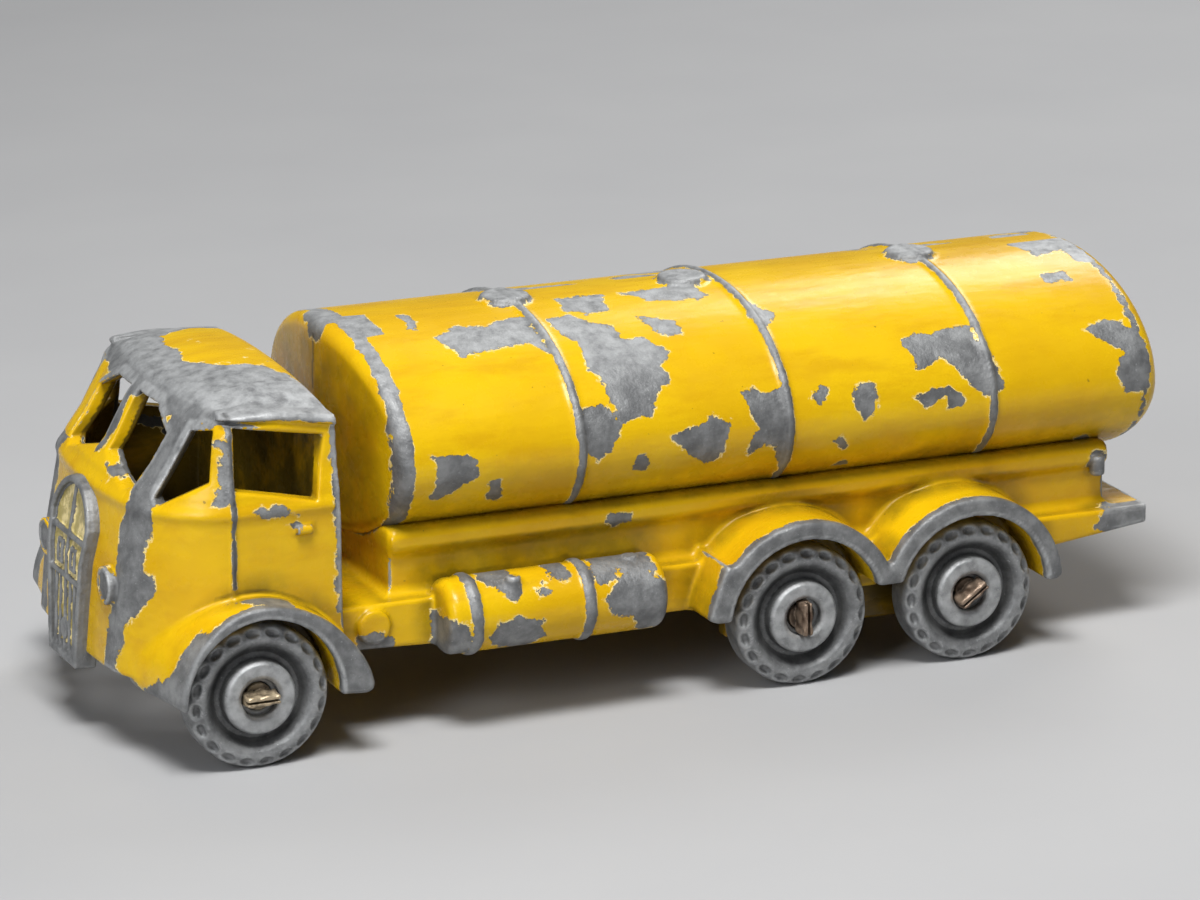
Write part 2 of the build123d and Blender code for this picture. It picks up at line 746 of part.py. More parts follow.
with BuildPart() as wheel:
    with BuildSketch(Plane.XY):
        with BuildLine():
            Polyline((BORE_R, 0.25), (1.3, 0.25), (1.5, 0.0), (2.7, 0.0))
            ThreePointArc((2.7, 0.0), (3.07, 0.17), (WHEEL_R, 0.55))
            Line((WHEEL_R, 0.55), (WHEEL_R, 1.3))
            ThreePointArc((WHEEL_R, 1.3), (3.07, 1.72), (2.68, 1.93))
            ThreePointArc((2.68, 1.93), (2.25, 1.95), (2.0, 1.58))
            Polyline(
                (2.0, 1.58),
                (1.93, 1.42),
                (1.7, 1.42),
                (1.62, 1.86),
                (1.5, WHEEL_T),
                (1.05, WHEEL_T),
                (HUB_MOUTH_R, WHEEL_T - 0.15),
                (HUB_MOUTH_R, WHEEL_T - HUB_MOUTH_DEPTH),
                (BORE_R, WHEEL_T - HUB_MOUTH_DEPTH),
                (BORE_R, 0.25),
            )
        make_face()
    revolve(axis=Axis.Y)
    with BuildSketch(Plane.XZ.offset(-WHEEL_T - 0.1)):
        with PolarLocations(3.08, TYRE_NOTCHES):
            Circle(NOTCH_R)
    extrude(amount=0.62, mode=Mode.SUBTRACT)

for name, x in AXLE_X.items():
    for side_name, sign, turn in (("left", 1, 0), ("right", -1, 180)):
        hub = Location((x, sign * (WHEEL_FACE_Y - WHEEL_T), WHEEL_R), (0, 0, turn))
        keep(hub * wheel.part, f"{name}_wheel_{side_name}")
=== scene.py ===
"""Looks of a play-worn die-cast toy: a three-axle road tanker lorry.

Each visible piece is a signed distance field, written in millimetres, that is
turned into a smooth mesh. The casting's fields use the casting's own axes,
which stand slightly nose-up on the wheels: x forward, y to the left, z up.
Both sides are alike, so a field only ever sees y as a distance from the middle.
"""

import math
from collections import namedtuple

import bpy
import numpy as np
from mathutils import Matrix, Vector


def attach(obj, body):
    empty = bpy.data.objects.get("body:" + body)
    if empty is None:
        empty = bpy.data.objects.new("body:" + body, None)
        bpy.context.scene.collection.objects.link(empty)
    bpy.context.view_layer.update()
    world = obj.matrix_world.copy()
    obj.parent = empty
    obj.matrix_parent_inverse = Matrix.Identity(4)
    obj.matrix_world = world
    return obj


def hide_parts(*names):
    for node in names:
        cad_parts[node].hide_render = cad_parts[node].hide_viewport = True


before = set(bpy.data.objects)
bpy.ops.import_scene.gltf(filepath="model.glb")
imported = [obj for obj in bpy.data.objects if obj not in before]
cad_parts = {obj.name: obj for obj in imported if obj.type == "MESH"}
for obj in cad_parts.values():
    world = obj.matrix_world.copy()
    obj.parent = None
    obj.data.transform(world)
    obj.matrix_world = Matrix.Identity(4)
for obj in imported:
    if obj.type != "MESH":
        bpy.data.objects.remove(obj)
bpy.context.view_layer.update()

MM = 0.001

# --- Driving sizes, in millimetres, as in the CAD model ---

NOSE_UP = math.radians(0.74)
CASTING_X = 0.28
WHEEL_R = 3.2
WHEEL_T = 2.0
WHEEL_FACE_Y = 9.92
AXLE_X = {"front": 19.39, "middle": -6.25, "rear": -14.50}
AXLE_R = 0.60
BORE_R = 0.65
HUB_MOUTH_R = 0.86
HUB_MOUTH_DEPTH = 0.45
CRIMP_LENGTH = 0.85
CRIMP_TURN = {"front": 0.0, "middle": 90.0, "rear": 35.0}

DECK_TOP = 5.8
DECK_BOTTOM = 3.65
DECK_HALF = 7.9
SKIRT = 0.8
DECK_REAR_X = -22.9
PLATFORM_END_X = -24.72
BOSS_X = 13.25

CRADLE_HALF = 6.95
CRADLE_FRONT_X = 12.1
CRADLE_WALL = 1.0
FLANGE_HALF = 7.35
FLANGE_BOTTOM = 7.75
FLANGE_TOP = 8.75

TANK_HALF = 8.45
TANK_MID_Z = 11.6
TANK_RISE = 5.0
TANK_DROP = 4.3
TANK_WALL = 1.2
TANK_CORE_HALF = 5.6
TANK_REAR_X = -25.2
TANK_FRONT_X = 12.85
TANK_HOLLOW_X = (-23.5, 11.45)
RIB_X = (3.6, -6.4, -16.45)
RIB_RISE = 0.17
RIB_HALF = 0.2
FILLER_X = (3.75, -4.9, -16.3)
FILLER_R = 1.1
FILLER_TOP = 16.88
FILLER_FOOT = 16.0

SIDE_TANK_R = 1.68
SIDE_TANK_Y = 8.3
SIDE_TANK_Z = 5.02
SIDE_TANK_REAR_X = 0.05
SIDE_TANK_FRONT_X = 10.35
STRAP_X = (9.15, 3.85)
STRAP_RISE = 0.13
STRAP_HALF = 0.24
STUB_AT = ((7.2, SIDE_TANK_Y + 0.9), (1.35, SIDE_TANK_Y + 0.1))
STUB_R = 0.32

CAB_REAR_X = 14.8
CAB_WALL = 0.85
CAB_BOTTOM = 3.3
ROOF_LINE = 14.9
CAB_HEIGHTS = (3.3, 7.4, 10.6, 11.4, 12.3, 14.9)
CAB_NOSE = (24.35, 24.15, 23.55, 23.2, 22.45, 21.05)
CAB_RIDGE = (24.15, 23.75, 23.1, 22.7, 22.0, 20.4)
CAB_RIDGE_HALF = 4.85
CAB_DOOR = 19.7
CAB_SIDE = (8.45, 8.38, 8.3, 8.2, 7.95, 7.62)
ROOF_PEAK_X = 17.3
ROOF_PEAK_Z = 15.72
BELT_Z = 10.72
BELT_RISE = 0.13
RAIL_X = (14.8, 17.5, 20.0)
RAIL_Z = (14.3, 14.75, 14.85)
RAIL_R = 0.2
HANDLE_X = 16.5
HANDLE_Z = 9.75
LAMP_AT = (4.0, 6.95)
LAMP_R = 0.82
LAMP_FRONT_X = 24.2

GUARD_FACE_Y = 10.3
GUARD_INNER_Y = 6.9
WEB_OUTER_Y = 7.3
WEB_INNER_Y = 6.5
WEB_HALF = 2.7
WEB_BOTTOM = 1.9
WEB_BRIDGE_TOP = 5.1
FRONT_ARCH_R = 3.6
REAR_ARCH_R = 3.7
REAR_GUARD_R = 4.5
REAR_GUARD_BOTTOM = 3.62
REAR_GUARD_FLARE = [(-2.6, 6.2), (-1.8, 3.75), (-3.1, 3.6), (-3.4, 5.4)]
FRONT_GUARD_ANGLES = (3, 25, 50, 90, 125, 150, 172, 181)
FRONT_GUARD_REACH = (4.38, 4.36, 4.27, 4.12, 4.24, 4.55, 5.0, 5.15)

FRONT_GUARD_SWEEP = 0.68
FRONT_ROOM_TRIM = 0.22

GRILLE_PROUD = 0.5
GRILLE_RIM = 0.3
GRILLE_CROSS_BARS_Z = (8.2, 6.3)
GRILLE_SLATS_Y = (0.62, 1.2)

FORE = np.array((math.cos(NOSE_UP), 0.0, math.sin(NOSE_UP)))
UP = np.array((-math.sin(NOSE_UP), 0.0, math.cos(NOSE_UP)))


def axle_in_casting(name):
    """An axle centre in the casting's own x and z."""
    x = AXLE_X[name] - CASTING_X
    return x * FORE[0] + WHEEL_R * FORE[2], x * UP[0] + WHEEL_R * UP[2]


FRONT_AXLE = axle_in_casting("front")
MIDDLE_AXLE = axle_in_casting("middle")
REAR_AXLE = axle_in_casting("rear")

# --- Distance fields: negative inside, positive outside ---


def join(a, b, r=0.0):
    """Union, with a fillet of radius r in the corner between the two."""
    if r == 0.0:
        return np.minimum(a, b)
    return np.maximum(r, np.minimum(a, b)) - np.hypot(np.maximum(r - a, 0), np.maximum(r - b, 0))


def meet(a, b, r=0.0):
    """Intersection, with its edge rounded to radius r."""
    if r == 0.0:
        return np.maximum(a, b)
    return np.minimum(-r, np.maximum(a, b)) + np.hypot(np.maximum(r + a, 0), np.maximum(r + b, 0))


def cut(a, b, r=0.0):
    """What is left of a outside b, with the new edge rounded."""
    return meet(a, -b, r)


def span(t, low, high):
    return np.abs(t - (low + high) / 2) - (high - low) / 2


def disc(u, v, centre, radius):
    return np.hypot(u - centre[0], v - centre[1]) - radius


def polygon(u, v, corners):
    """Distance to a closed outline given by its corners."""
    best = np.full(np.shape(u), 1e9, np.float32)
    inside = np.zeros(np.shape(u), bool)
    for (u0, v0), (u1, v1) in zip(corners, corners[1:] + corners[:1]):
        du, dv = u1 - u0, v1 - v0
        along = np.clip(((u - u0) * du + (v - v0) * dv) / (du * du + dv * dv), 0, 1)
        best = np.minimum(best, (u - u0 - along * du) ** 2 + (v - v0 - along * dv) ** 2)
        if dv != 0:
            crosses = ((v0 > v) != (v1 > v)) & (u < du * (v - v0) / dv + u0)
            inside ^= crosses
    return np.where(inside, -1, 1) * np.sqrt(best)


# --- The casting's fields ---


def tank_section(y, z, grow=0.0):
    """The tank's cross-section: two half ellipses that meet at the widest level."""
    half = TANK_HALF + grow
    tall = np.where(z > TANK_MID_Z, TANK_RISE, TANK_DROP) + grow
    k = np.hypot(y / half, (z - TANK_MID_Z) / tall)
    slope = np.hypot(y / half**2, (z - TANK_MID_Z) / tall**2)
    return k * (k - 1) / np.maximum(slope, 1e-4)


def tank_front(x, y):
    """The front face, crowned about its middle seam."""
    return x - (TANK_FRONT_X - 0.045 * y - y * y / 140)


def tank_field(x, y, z):
    skin = tank_section(y, z)
    body = meet(skin, TANK_REAR_X - x, 1.3)
    body = meet(body, tank_front(x, y), 0.6)
    for rib_x in RIB_X:
        ridge = np.exp(-(((x - rib_x) / RIB_HALF) ** 2))
        body = body - RIB_RISE * ridge * np.clip((z - FLANGE_TOP) / 0.3, 0, 1)
    for filler_x in FILLER_X:
        cap = meet(disc(x, y, (filler_x, 0), FILLER_R), z - FILLER_TOP, 0.16)
        cap = np.maximum(cap, FILLER_FOOT - z)
        body = join(body, cap, 0.3)
    hollow = np.maximum(tank_section(y, z, -TANK_WALL), span(x, *TANK_HOLLOW_X))
    core = np.maximum(y - TANK_CORE_HALF, span(x, DECK_REAR_X + 1.0, CRADLE_FRONT_X - 1.0))
    core = np.maximum(core, z - TANK_MID_Z)
    return cut(body, np.minimum(hollow, core), 0.2)


CHASSIS_PROFILE = [
    (CAB_REAR_X + 0.5, DECK_TOP),
    (CAB_REAR_X + 0.5, DECK_BOTTOM + 0.22),
    (10.0, DECK_BOTTOM),
    (-17.0, DECK_BOTTOM),
    (-19.2, 4.3),
    (PLATFORM_END_X, DECK_TOP - 0.85),
    (PLATFORM_END_X, DECK_TOP),
]


def rear_arches(x, z, radius, blend=0.0):
    """Both rear wheels' arches as one outline, open downwards."""
    arches = []
    for centre in (MIDDLE_AXLE, REAR_AXLE):
        arch = disc(x, z, centre, radius)
        leg = np.maximum(np.abs(x - centre[0]) - radius, z - centre[1])
        arches.append(np.where(z > centre[1], arch, leg))
    return join(arches[0], arches[1], blend)


def web(x, y, z, centres, radius):
    """The wall behind the wheels that carries the axle."""
    wall = 1e9
    for centre in centres:
        below = np.where(z < centre[1], np.abs(x - centre[0]) - WEB_HALF, -9.0)
        wall = np.minimum(wall, np.maximum(disc(x, z, centre, radius), below))
    if len(centres) == 2:
        low, high = sorted(centre[0] for centre in centres)
        wall = np.minimum(wall, np.maximum(span(x, low, high), span(z, WEB_BOTTOM, WEB_BRIDGE_TOP)))
    wall = meet(wall, WEB_BOTTOM - z, 0.2)
    for centre in centres:
        wall = np.maximum(wall, -disc(x, z, centre, BORE_R))
    return meet(wall, span(y, WEB_INNER_Y, WEB_OUTER_Y), 0.1)


def wheel_room(x, y, z):
    """The room that the wheels need in the casting's sides."""
    rear = rear_arches(x, z, REAR_ARCH_R)
    front = disc(x, z, FRONT_AXLE, FRONT_ARCH_R)
    front = np.where(z > FRONT_AXLE[1], front, np.abs(x - FRONT_AXLE[0]) - FRONT_ARCH_R)
    front = front + FRONT_ROOM_TRIM * np.clip((x - FRONT_AXLE[0]) / FRONT_ARCH_R, 0, 1)
    return np.maximum(np.minimum(rear, front), WEB_OUTER_Y - y)


def rear_guard(x, y, z):
    outer = rear_arches(x, z, REAR_GUARD_R, 0.35)
    outer = join(outer, polygon(x, z, REAR_GUARD_FLARE), 0.5)
    band = meet(outer, REAR_GUARD_BOTTOM - z, 0.4)
    between = (MIDDLE_AXLE[0] + REAR_AXLE[0]) / 2
    notch = np.maximum(np.abs(x - between) - 1.2, z - 4.4)
    band = np.maximum(band, -notch)
    return meet(band, span(y, GUARD_INNER_Y - 0.4, GUARD_FACE_Y), 0.22)


def side_tank(x, y, z):
    across = disc(y, z, (SIDE_TANK_Y, SIDE_TANK_Z), SIDE_TANK_R)
    body = meet(across, span(x, SIDE_TANK_REAR_X, SIDE_TANK_FRONT_X), 0.45)
    for strap_x in STRAP_X:
        body = body - STRAP_RISE * np.exp(-(((x - strap_x) / STRAP_HALF) ** 4))
    for centre in STUB_AT:
        stub = disc(x, y, centre, STUB_R)
        stub = np.maximum(stub, span(z, 5.5, SIDE_TANK_Z + SIDE_TANK_R + 0.05))
        body = join(body, stub, 0.2)
    return body


def chassis_field(x, y, z):
    deck = meet(polygon(x, z, CHASSIS_PROFILE), y - DECK_HALF, 0.18)
    tray = np.maximum(span(x, DECK_REAR_X + SKIRT, CAB_REAR_X - SKIRT), y - (DECK_HALF - SKIRT))
    deck = cut(deck, np.maximum(tray, z - (DECK_TOP - 0.8)), 0.12)
    wall = np.maximum(y - CRADLE_HALF, span(x, DECK_REAR_X, CRADLE_FRONT_X))
    wall = meet(wall, z - FLANGE_TOP, 0.1)
    flange = np.maximum(y - FLANGE_HALF, span(x, DECK_REAR_X, CRADLE_FRONT_X))
    flange = meet(flange, span(z, FLANGE_BOTTOM, FLANGE_TOP), 0.38)
    cradle = np.maximum(join(wall, flange, 0.4), 5.0 - z)
    body = join(deck, cradle, 0.5)
    lug = disc(x, y, (DECK_REAR_X + 0.55, FLANGE_HALF + 0.05), 0.34)
    body = join(body, meet(lug, span(z, 7.35, 8.3), 0.15), 0.1)
    tank_room = np.maximum(tank_section(y, z, -0.12), span(x, TANK_REAR_X - 1, TANK_FRONT_X + 1))
    core = np.maximum(
        y - (CRADLE_HALF - CRADLE_WALL),
        span(x, DECK_REAR_X + CRADLE_WALL, CRADLE_FRONT_X - CRADLE_WALL),
    )
    body = np.maximum(body, -np.minimum(tank_room, core))
    boss = meet(disc(x, z, (BOSS_X, 4.85), 0.77), y - (DECK_HALF + 0.28), 0.12)
    body = join(body, np.maximum(boss, 7.0 - y), 0.12)
    tank = np.maximum(side_tank(x, y, z), DECK_HALF - 0.6 - y)
    body = join(body, tank, 0.22)
    body = join(body, rear_guard(x, y, z), 0.3)
    body = cut(body, wheel_room(x, y, z), 0.1)
    return np.minimum(body, web(x, y, z, (MIDDLE_AXLE, REAR_AXLE), REAR_ARCH_R + 0.1))


DOOR_WINDOW = [(19.3, 14.25), (15.45, 13.62), (15.9, 11.0), (19.45, 11.75)]
FRONT_PANE = [(0.55, 14.4), (2.6, 14.35), (4.35, 13.5), (4.25, 11.35), (3.7, 11.15), (0.6, 12.0)]
CORNER_PANE = [(0.25, 13.95), (1.35, 14.15), (1.4, 12.1), (-0.75, 11.0), (-0.95, 11.2)]
CORNER_PANE_AT = (21.6, 6.6)


def cab_outline(x, y, z, inset=0.0):
    """The cab's level outline: side, curved corner panel and front."""
    nose = np.interp(z, CAB_HEIGHTS, CAB_NOSE) - inset
    ridge = np.interp(z, CAB_HEIGHTS, CAB_RIDGE) - inset
    side = np.interp(z, CAB_HEIGHTS, CAB_SIDE) - inset
    front = x - (nose - (nose - ridge) * (y / CAB_RIDGE_HALF) ** 2)
    door = CAB_DOOR - 0.6 * inset
    long = ridge - door
    wide = side - CAB_RIDGE_HALF
    reach = np.maximum(x - door, 0) / long
    width = np.maximum(y - CAB_RIDGE_HALF, 0) / wide
    corner = (reach**1.6 + width**1.6) ** (1 / 1.6) - 1
    corner = corner / (0.85 * np.hypot(1 / long, 1 / wide))
    ahead = np.where(y > CAB_RIDGE_HALF, corner, front * 0.97)
    return np.maximum(np.maximum(y - side, ahead), CAB_REAR_X + inset - x)


def roof_top(x, y):
    """The roof's height: it falls to the front, a little to the rear, and to the sides."""
    front_fall = 0.075 * np.maximum(x - ROOF_PEAK_X, 0) ** 1.6
    rear_fall = 0.035 * np.maximum(ROOF_PEAK_X - x, 0) ** 2
    return ROOF_PEAK_Z - front_fall - rear_fall - 0.0095 * y * y


def nose_front(x, z):
    return x - np.interp(z, CAB_HEIGHTS, CAB_NOSE)


def from_door(x, z):
    """How far ahead of the door's front edge a place is; the edge leans a little."""
    return x - CAB_DOOR + 0.02 * (z - 9)


def front_guard(x, y, z):
    dx, dz = x - FRONT_AXLE[0], z - FRONT_AXLE[1]
    angle = np.degrees(np.arctan2(dz, dx))
    angle = np.where(angle < -90, angle + 360, angle)
    reach = np.interp(angle, FRONT_GUARD_ANGLES, FRONT_GUARD_REACH)
    sweep = np.clip((y - 6.3) / 4.0, 0, 1) ** 0.8 * np.clip(dx / 3.4, 0, 1) ** 1.5
    outer = np.hypot(dx, dz) - reach + FRONT_GUARD_SWEEP * sweep
    band = meet(outer, -0.25 * np.abs(dx) / FRONT_ARCH_R - dz + 0.05, 0.5)
    inner_edge = np.where(dx > 2.3, 5.0, GUARD_INNER_Y - 0.6)
    return meet(band, span(y, inner_edge, GUARD_FACE_Y), 0.22)


def cab_field(x, y, z):
    belt = BELT_RISE * np.exp(-(((z - BELT_Z) / 0.32) ** 2))
    body = meet(cab_outline(x, y, z) - belt * (x > CAB_REAR_X + 0.3), z - roof_top(x, y), 0.95)
    shell = meet(body, CAB_BOTTOM - z, 0.12)
    room = np.maximum(cab_outline(x, y, z, CAB_WALL), z - (ROOF_LINE - 0.1))
    shell = cut(shell, room, 0.1)
    side = np.clip(y - 7.0, 0, 1) * np.clip((14.75 - z) / 0.2, 0, 1)
    shell = shell - side * 0.09 * np.exp(-((from_door(x, z) / 0.14) ** 2))
    pane = np.maximum(polygon(y, z, FRONT_PANE), 17 - x)
    shell = cut(shell, pane - 0.05, 0.14)
    window = np.maximum(polygon(x, z, DOOR_WINDOW), 5 - y)
    shell = cut(shell, window - 0.05, 0.14)
    along = ((y - CORNER_PANE_AT[1]) - (x - CORNER_PANE_AT[0])) * math.sqrt(0.5)
    outward = ((y - CORNER_PANE_AT[1]) + (x - CORNER_PANE_AT[0])) * math.sqrt(0.5)
    pane = np.maximum(polygon(along, z, CORNER_PANE), np.abs(outward) - 3)
    shell = cut(shell, pane - 0.05, 0.14)
    rail = np.hypot(z - np.interp(x, RAIL_X, RAIL_Z), body - 0.06) - RAIL_R
    rail = np.maximum(rail, np.maximum(span(x, CAB_REAR_X, 19.9), 6.5 - y))
    shell = join(shell, rail, 0.12)
    handle = np.maximum(np.hypot(z - HANDLE_Z, y - 8.4) - 0.2, np.abs(x - HANDLE_X) - 0.36)
    shell = join(shell, handle, 0.1)
    lamp = meet(disc(y, z, LAMP_AT, LAMP_R), x - (LAMP_FRONT_X - 0.06), 0.1)
    rim = meet(np.abs(disc(y, z, LAMP_AT, LAMP_R - 0.08)) - 0.1, x - LAMP_FRONT_X, 0.06)
    shell = join(shell, np.maximum(np.minimum(lamp, rim), 23.0 - x), 0.1)
    body = join(shell, front_guard(x, y, z), 0.22)
    body = cut(body, wheel_room(x, y, z), 0.1)
    return np.minimum(body, web(x, y, z, (FRONT_AXLE,), FRONT_ARCH_R + 0.1))


def arc_points(centre, radius, start, end, count):
    angles = np.radians(np.linspace(start, end, count))
    return [(centre[0] + radius * math.cos(a), centre[1] + radius * math.sin(a)) for a in angles]


SHIELD = [(-2.5, 8.9), (-2.05, 5.2), (-1.8, 2.6), (1.8, 2.6), (2.05, 5.2)]
SHIELD += arc_points((0, 8.14), 2.61, 17, 163, 14)


def grille_field(x, y, z):
    shield = polygon(y, z, SHIELD)
    front = nose_front(x, z)
    back = -0.5 - front
    plate = meet(shield, front - (GRILLE_PROUD - 0.26), 0.1)
    rim = meet(np.maximum(shield, -shield - GRILLE_RIM), front - GRILLE_PROUD, 0.12)
    bars = np.abs(y) - 0.11
    for bar_z in GRILLE_CROSS_BARS_Z:
        bars = np.minimum(bars, np.abs(z - bar_z) - 0.13)
    for bar_y in GRILLE_SLATS_Y:
        bars = np.minimum(bars, np.maximum(np.abs(y - bar_y) - 0.11, z - 6.2))
    badge = np.maximum(np.abs(y - 0.85) - 0.36, np.abs(z - 7.25) - 0.55)
    bars = np.minimum(bars, np.maximum(badge, -badge - 0.22))
    bars = np.minimum(bars, disc(y, z, (0, 3.95), 0.5))
    bars = np.maximum(bars, shield)
    bars = meet(bars, front - (GRILLE_PROUD - 0.1), 0.1)
    sill_front = front - GRILLE_PROUD + 0.5 * np.maximum(z - 2.65, 0)
    sill = meet(np.maximum(shield, z - 3.35), sill_front, 0.05)
    plate = join(join(plate, rim, 0.1), bars, 0.08)
    return np.maximum(join(plate, sill, 0.05), back)


# --- Wheels and axles, on their own middle: x forward, y outward, z up ---

TREAD_NOTCHES = 20
NOTCH_AT = (2.92, 1.92)
NOTCH_R = 0.24
TYRE_OUTLINE = (
    [(BORE_R, 0.25), (1.3, 0.25), (1.5, 0.0), (2.7, 0.0)]
    + arc_points((2.65, 0.55), 0.55, -80, 0, 6)
    + arc_points((2.65, 1.35), 0.55, 10, 80, 6)
    + [(2.58, 1.9), (2.42, 1.84), (2.28, 1.7), (2.16, 1.54), (2.04, 1.4), (1.92, 1.31), (1.78, 1.3)]
    + [(1.68, 1.36), (1.62, 1.84), (1.5, WHEEL_T), (1.02, WHEEL_T)]
    + [(HUB_MOUTH_R, WHEEL_T - 0.15), (HUB_MOUTH_R, WHEEL_T - HUB_MOUTH_DEPTH)]
    + [(BORE_R, WHEEL_T - HUB_MOUTH_DEPTH)]
)


def wheel_field(x, y, z):
    radius = np.hypot(x, z)
    body = polygon(radius, y, TYRE_OUTLINE)
    turn = np.arctan2(z, x) * TREAD_NOTCHES / (2 * math.pi)
    offset = (turn - np.round(turn)) * 2 * math.pi * WHEEL_R / TREAD_NOTCHES
    across, deep = (radius - NOTCH_AT[0]) * 1.1, (y - NOTCH_AT[1]) * 0.8
    notch = np.hypot(np.hypot(offset * 0.62, across), deep) - NOTCH_R
    return cut(body, notch, 0.04)


# --- From field to mesh ---

BLOCK = 8
CORNERS = [(i, j, k) for i in (0, 1) for j in (0, 1) for k in (0, 1)]
PAIRS = [(a, b) for a in range(8) for b in range(a + 1, 8)]
EDGES = [(a, b) for a, b in PAIRS if np.abs(np.subtract(CORNERS[a], CORNERS[b])).sum() == 1]


def sample_grid(field, low, high, step, mirrored):
    """The field on a regular grid, worked out only near its surface.

    With mirrored set, the grid covers y from 0 and is then reflected."""
    low = np.array(low, float)
    if mirrored:
        low[1] = step / 2
    blocks = np.ceil((np.array(high) - low) / (step * BLOCK)).astype(int)
    index = np.stack(np.meshgrid(*[np.arange(n) for n in blocks], indexing="ij"), -1).reshape(-1, 3)
    middle = low + (index + 0.5) * step * BLOCK - step / 2
    value = field(*middle.T)
    near = np.abs(value) < step * BLOCK * 1.25
    grid = np.repeat(np.sign(value), BLOCK**3).reshape(-1, BLOCK, BLOCK, BLOCK).astype(np.float32)
    inner = np.stack(np.meshgrid(*[np.arange(BLOCK)] * 3, indexing="ij"), -1)
    points = low + (index[near][:, None, None, None, :] * BLOCK + inner[None]) * step
    grid[near] = field(points[..., 0], points[..., 1], points[..., 2])
    grid = grid.reshape(*blocks, BLOCK, BLOCK, BLOCK).transpose(0, 3, 1, 4, 2, 5)
    grid = grid.reshape(*(blocks * BLOCK))
    if mirrored:
        grid = np.concatenate([grid[:, ::-1], grid], axis=1)
        low[1] = -low[1] - (blocks[1] * BLOCK - 1) * step
    return grid, low


def surface_net(grid, low, step):
    """Vertices and quads of the grid's zero surface."""
    inside = grid < 0
    shape = np.array(grid.shape) - 1
    count = np.zeros(tuple(shape), np.int8)
    for corner in CORNERS:
        count += inside[tuple(slice(start, size + start) for start, size in zip(corner, shape))]
    cells = np.argwhere((count > 0) & (count < 8))
    values = np.stack([grid[tuple((cells + c).T)] for c in CORNERS], -1)
    total = np.zeros((len(cells), 3))
    hits = np.zeros(len(cells))
    for a, b in EDGES:
        crossing = (values[:, a] < 0) != (values[:, b] < 0)
        va, vb = values[crossing, a], values[crossing, b]
        share = (va / (va - vb))[:, None]
        start, end = np.array(CORNERS[a]), np.array(CORNERS[b])
        total[crossing] += start + share * (end - start)
        hits[crossing] += 1
    points = low + (cells + total / hits[:, None]) * step
    number = np.full(tuple(shape), -1, np.int32)
    number[tuple(cells.T)] = np.arange(len(cells))
    quads = []
    for axis in range(3):
        u, v = [other for other in range(3) if other != axis]
        ahead = [slice(1, n - 1) for n in grid.shape]
        ahead[axis] = slice(0, grid.shape[axis] - 1)
        shifted = list(ahead)
        shifted[axis] = slice(1, grid.shape[axis])
        here, there = inside[tuple(ahead)], inside[tuple(shifted)]
        where = np.argwhere(here != there)
        outward = here[tuple(where.T)]
        where[:, u] += 1
        where[:, v] += 1
        ring = []
        for du, dv in ((0, 0), (1, 0), (1, 1), (0, 1)):
            cell = where.copy()
            cell[:, u] -= du
            cell[:, v] -= dv
            ring.append(number[tuple(cell.T)])
        ring = np.stack(ring, -1)
        flip = outward if axis != 1 else ~outward
        ring[~flip] = ring[~flip][:, ::-1]
        quads.append(ring)
    return points, np.concatenate(quads)


def gradient(field, points, value, reach):
    x, y, z = points.T
    moved = [(x + reach, y, z), (x, y + reach, z), (x, y, z + reach)]
    return np.stack([(field(*m) - value) / reach for m in moved], -1)


def settle(field, points, step, mirrored, rounds=3):
    """Moves net vertices onto the field's surface; gives them and their normals."""
    sign = np.where(points[:, 1] < 0, -1.0, 1.0) if mirrored else np.ones(len(points))
    folded = points.copy()
    folded[:, 1] *= sign
    for _ in range(rounds):
        value = field(*folded.T)
        slope = gradient(field, folded, value, 0.01)
        push = -value[:, None] * slope / np.maximum((slope**2).sum(-1), 0.25)[:, None]
        length = np.linalg.norm(push, axis=-1, keepdims=True)
        folded += push * np.minimum(1, 0.4 * step / np.maximum(length, 1e-9))
    slope = gradient(field, folded, field(*folded.T), 0.01)
    normal = slope / np.maximum(np.linalg.norm(slope, axis=-1, keepdims=True), 1e-6)
    return folded, normal, sign


def steepness(field, folded, normal):
    """How fast a field that is no true distance grows just off the surface."""
    return np.clip(field(*(folded + normal * 0.02).T) / 0.02, 0.4, 1.2)


def stands_out(field, folded, normal, reach):
    """How sharply the surface folds away from a place's surroundings, 0 to 1."""
    inner = field(*(folded - normal * reach).T) / steepness(field, folded, normal)
    return np.clip(1 + inner / reach, 0, 1)


def sinks_in(field, folded, normal, reach):
    """How deep in a corner of its own surroundings a place is, 0 to 1."""
    outer = field(*(folded + normal * reach).T) / steepness(field, folded, normal)
    return np.clip(1 - outer / reach, 0, 1)


HEMMED_REACH = 1.7


def hemmed_in(folded, normal):
    """How closely the rest of the casting stands in front of a place."""
    ahead = folded + normal * HEMMED_REACH
    x, y, z = ahead[:, 0], np.abs(ahead[:, 1]), ahead[:, 2]
    room = np.minimum(np.minimum(tank_field(x, y, z), chassis_field(x, y, z)), cab_field(x, y, z))
    return np.clip(1 - room / HEMMED_REACH, 0, 1)


def rubbed_and_top_lit(folded, normal, convex):
    """How far metal is rubbed bright: on edges and tops, not on guard tips or the grille."""
    x, y, z = folded.T
    # painted light: upward faces above z 13 are made lighter as if lit from above
    bright = np.maximum(convex, 0.5 * normal[:, 2] * np.clip((z - 13.0) / 2.2, 0, 1))
    guard_tip = (x > FRONT_AXLE[0] + 1.2) & (z < DECK_TOP + 1) & (y > GUARD_INNER_Y)
    on_grille = (y < 2.6) & (z < 10.8) & (nose_front(x, z) > 0.05)
    return np.where(guard_tip | on_grille, np.minimum(bright, 0.22), bright)


def to_row_frame(points):
    """Casting millimetres to row-frame metres."""
    placed = points[:, :1] * FORE + points[:, 2:] * UP
    placed[:, 0] += CASTING_X
    placed[:, 1] = points[:, 1]
    return placed * MM


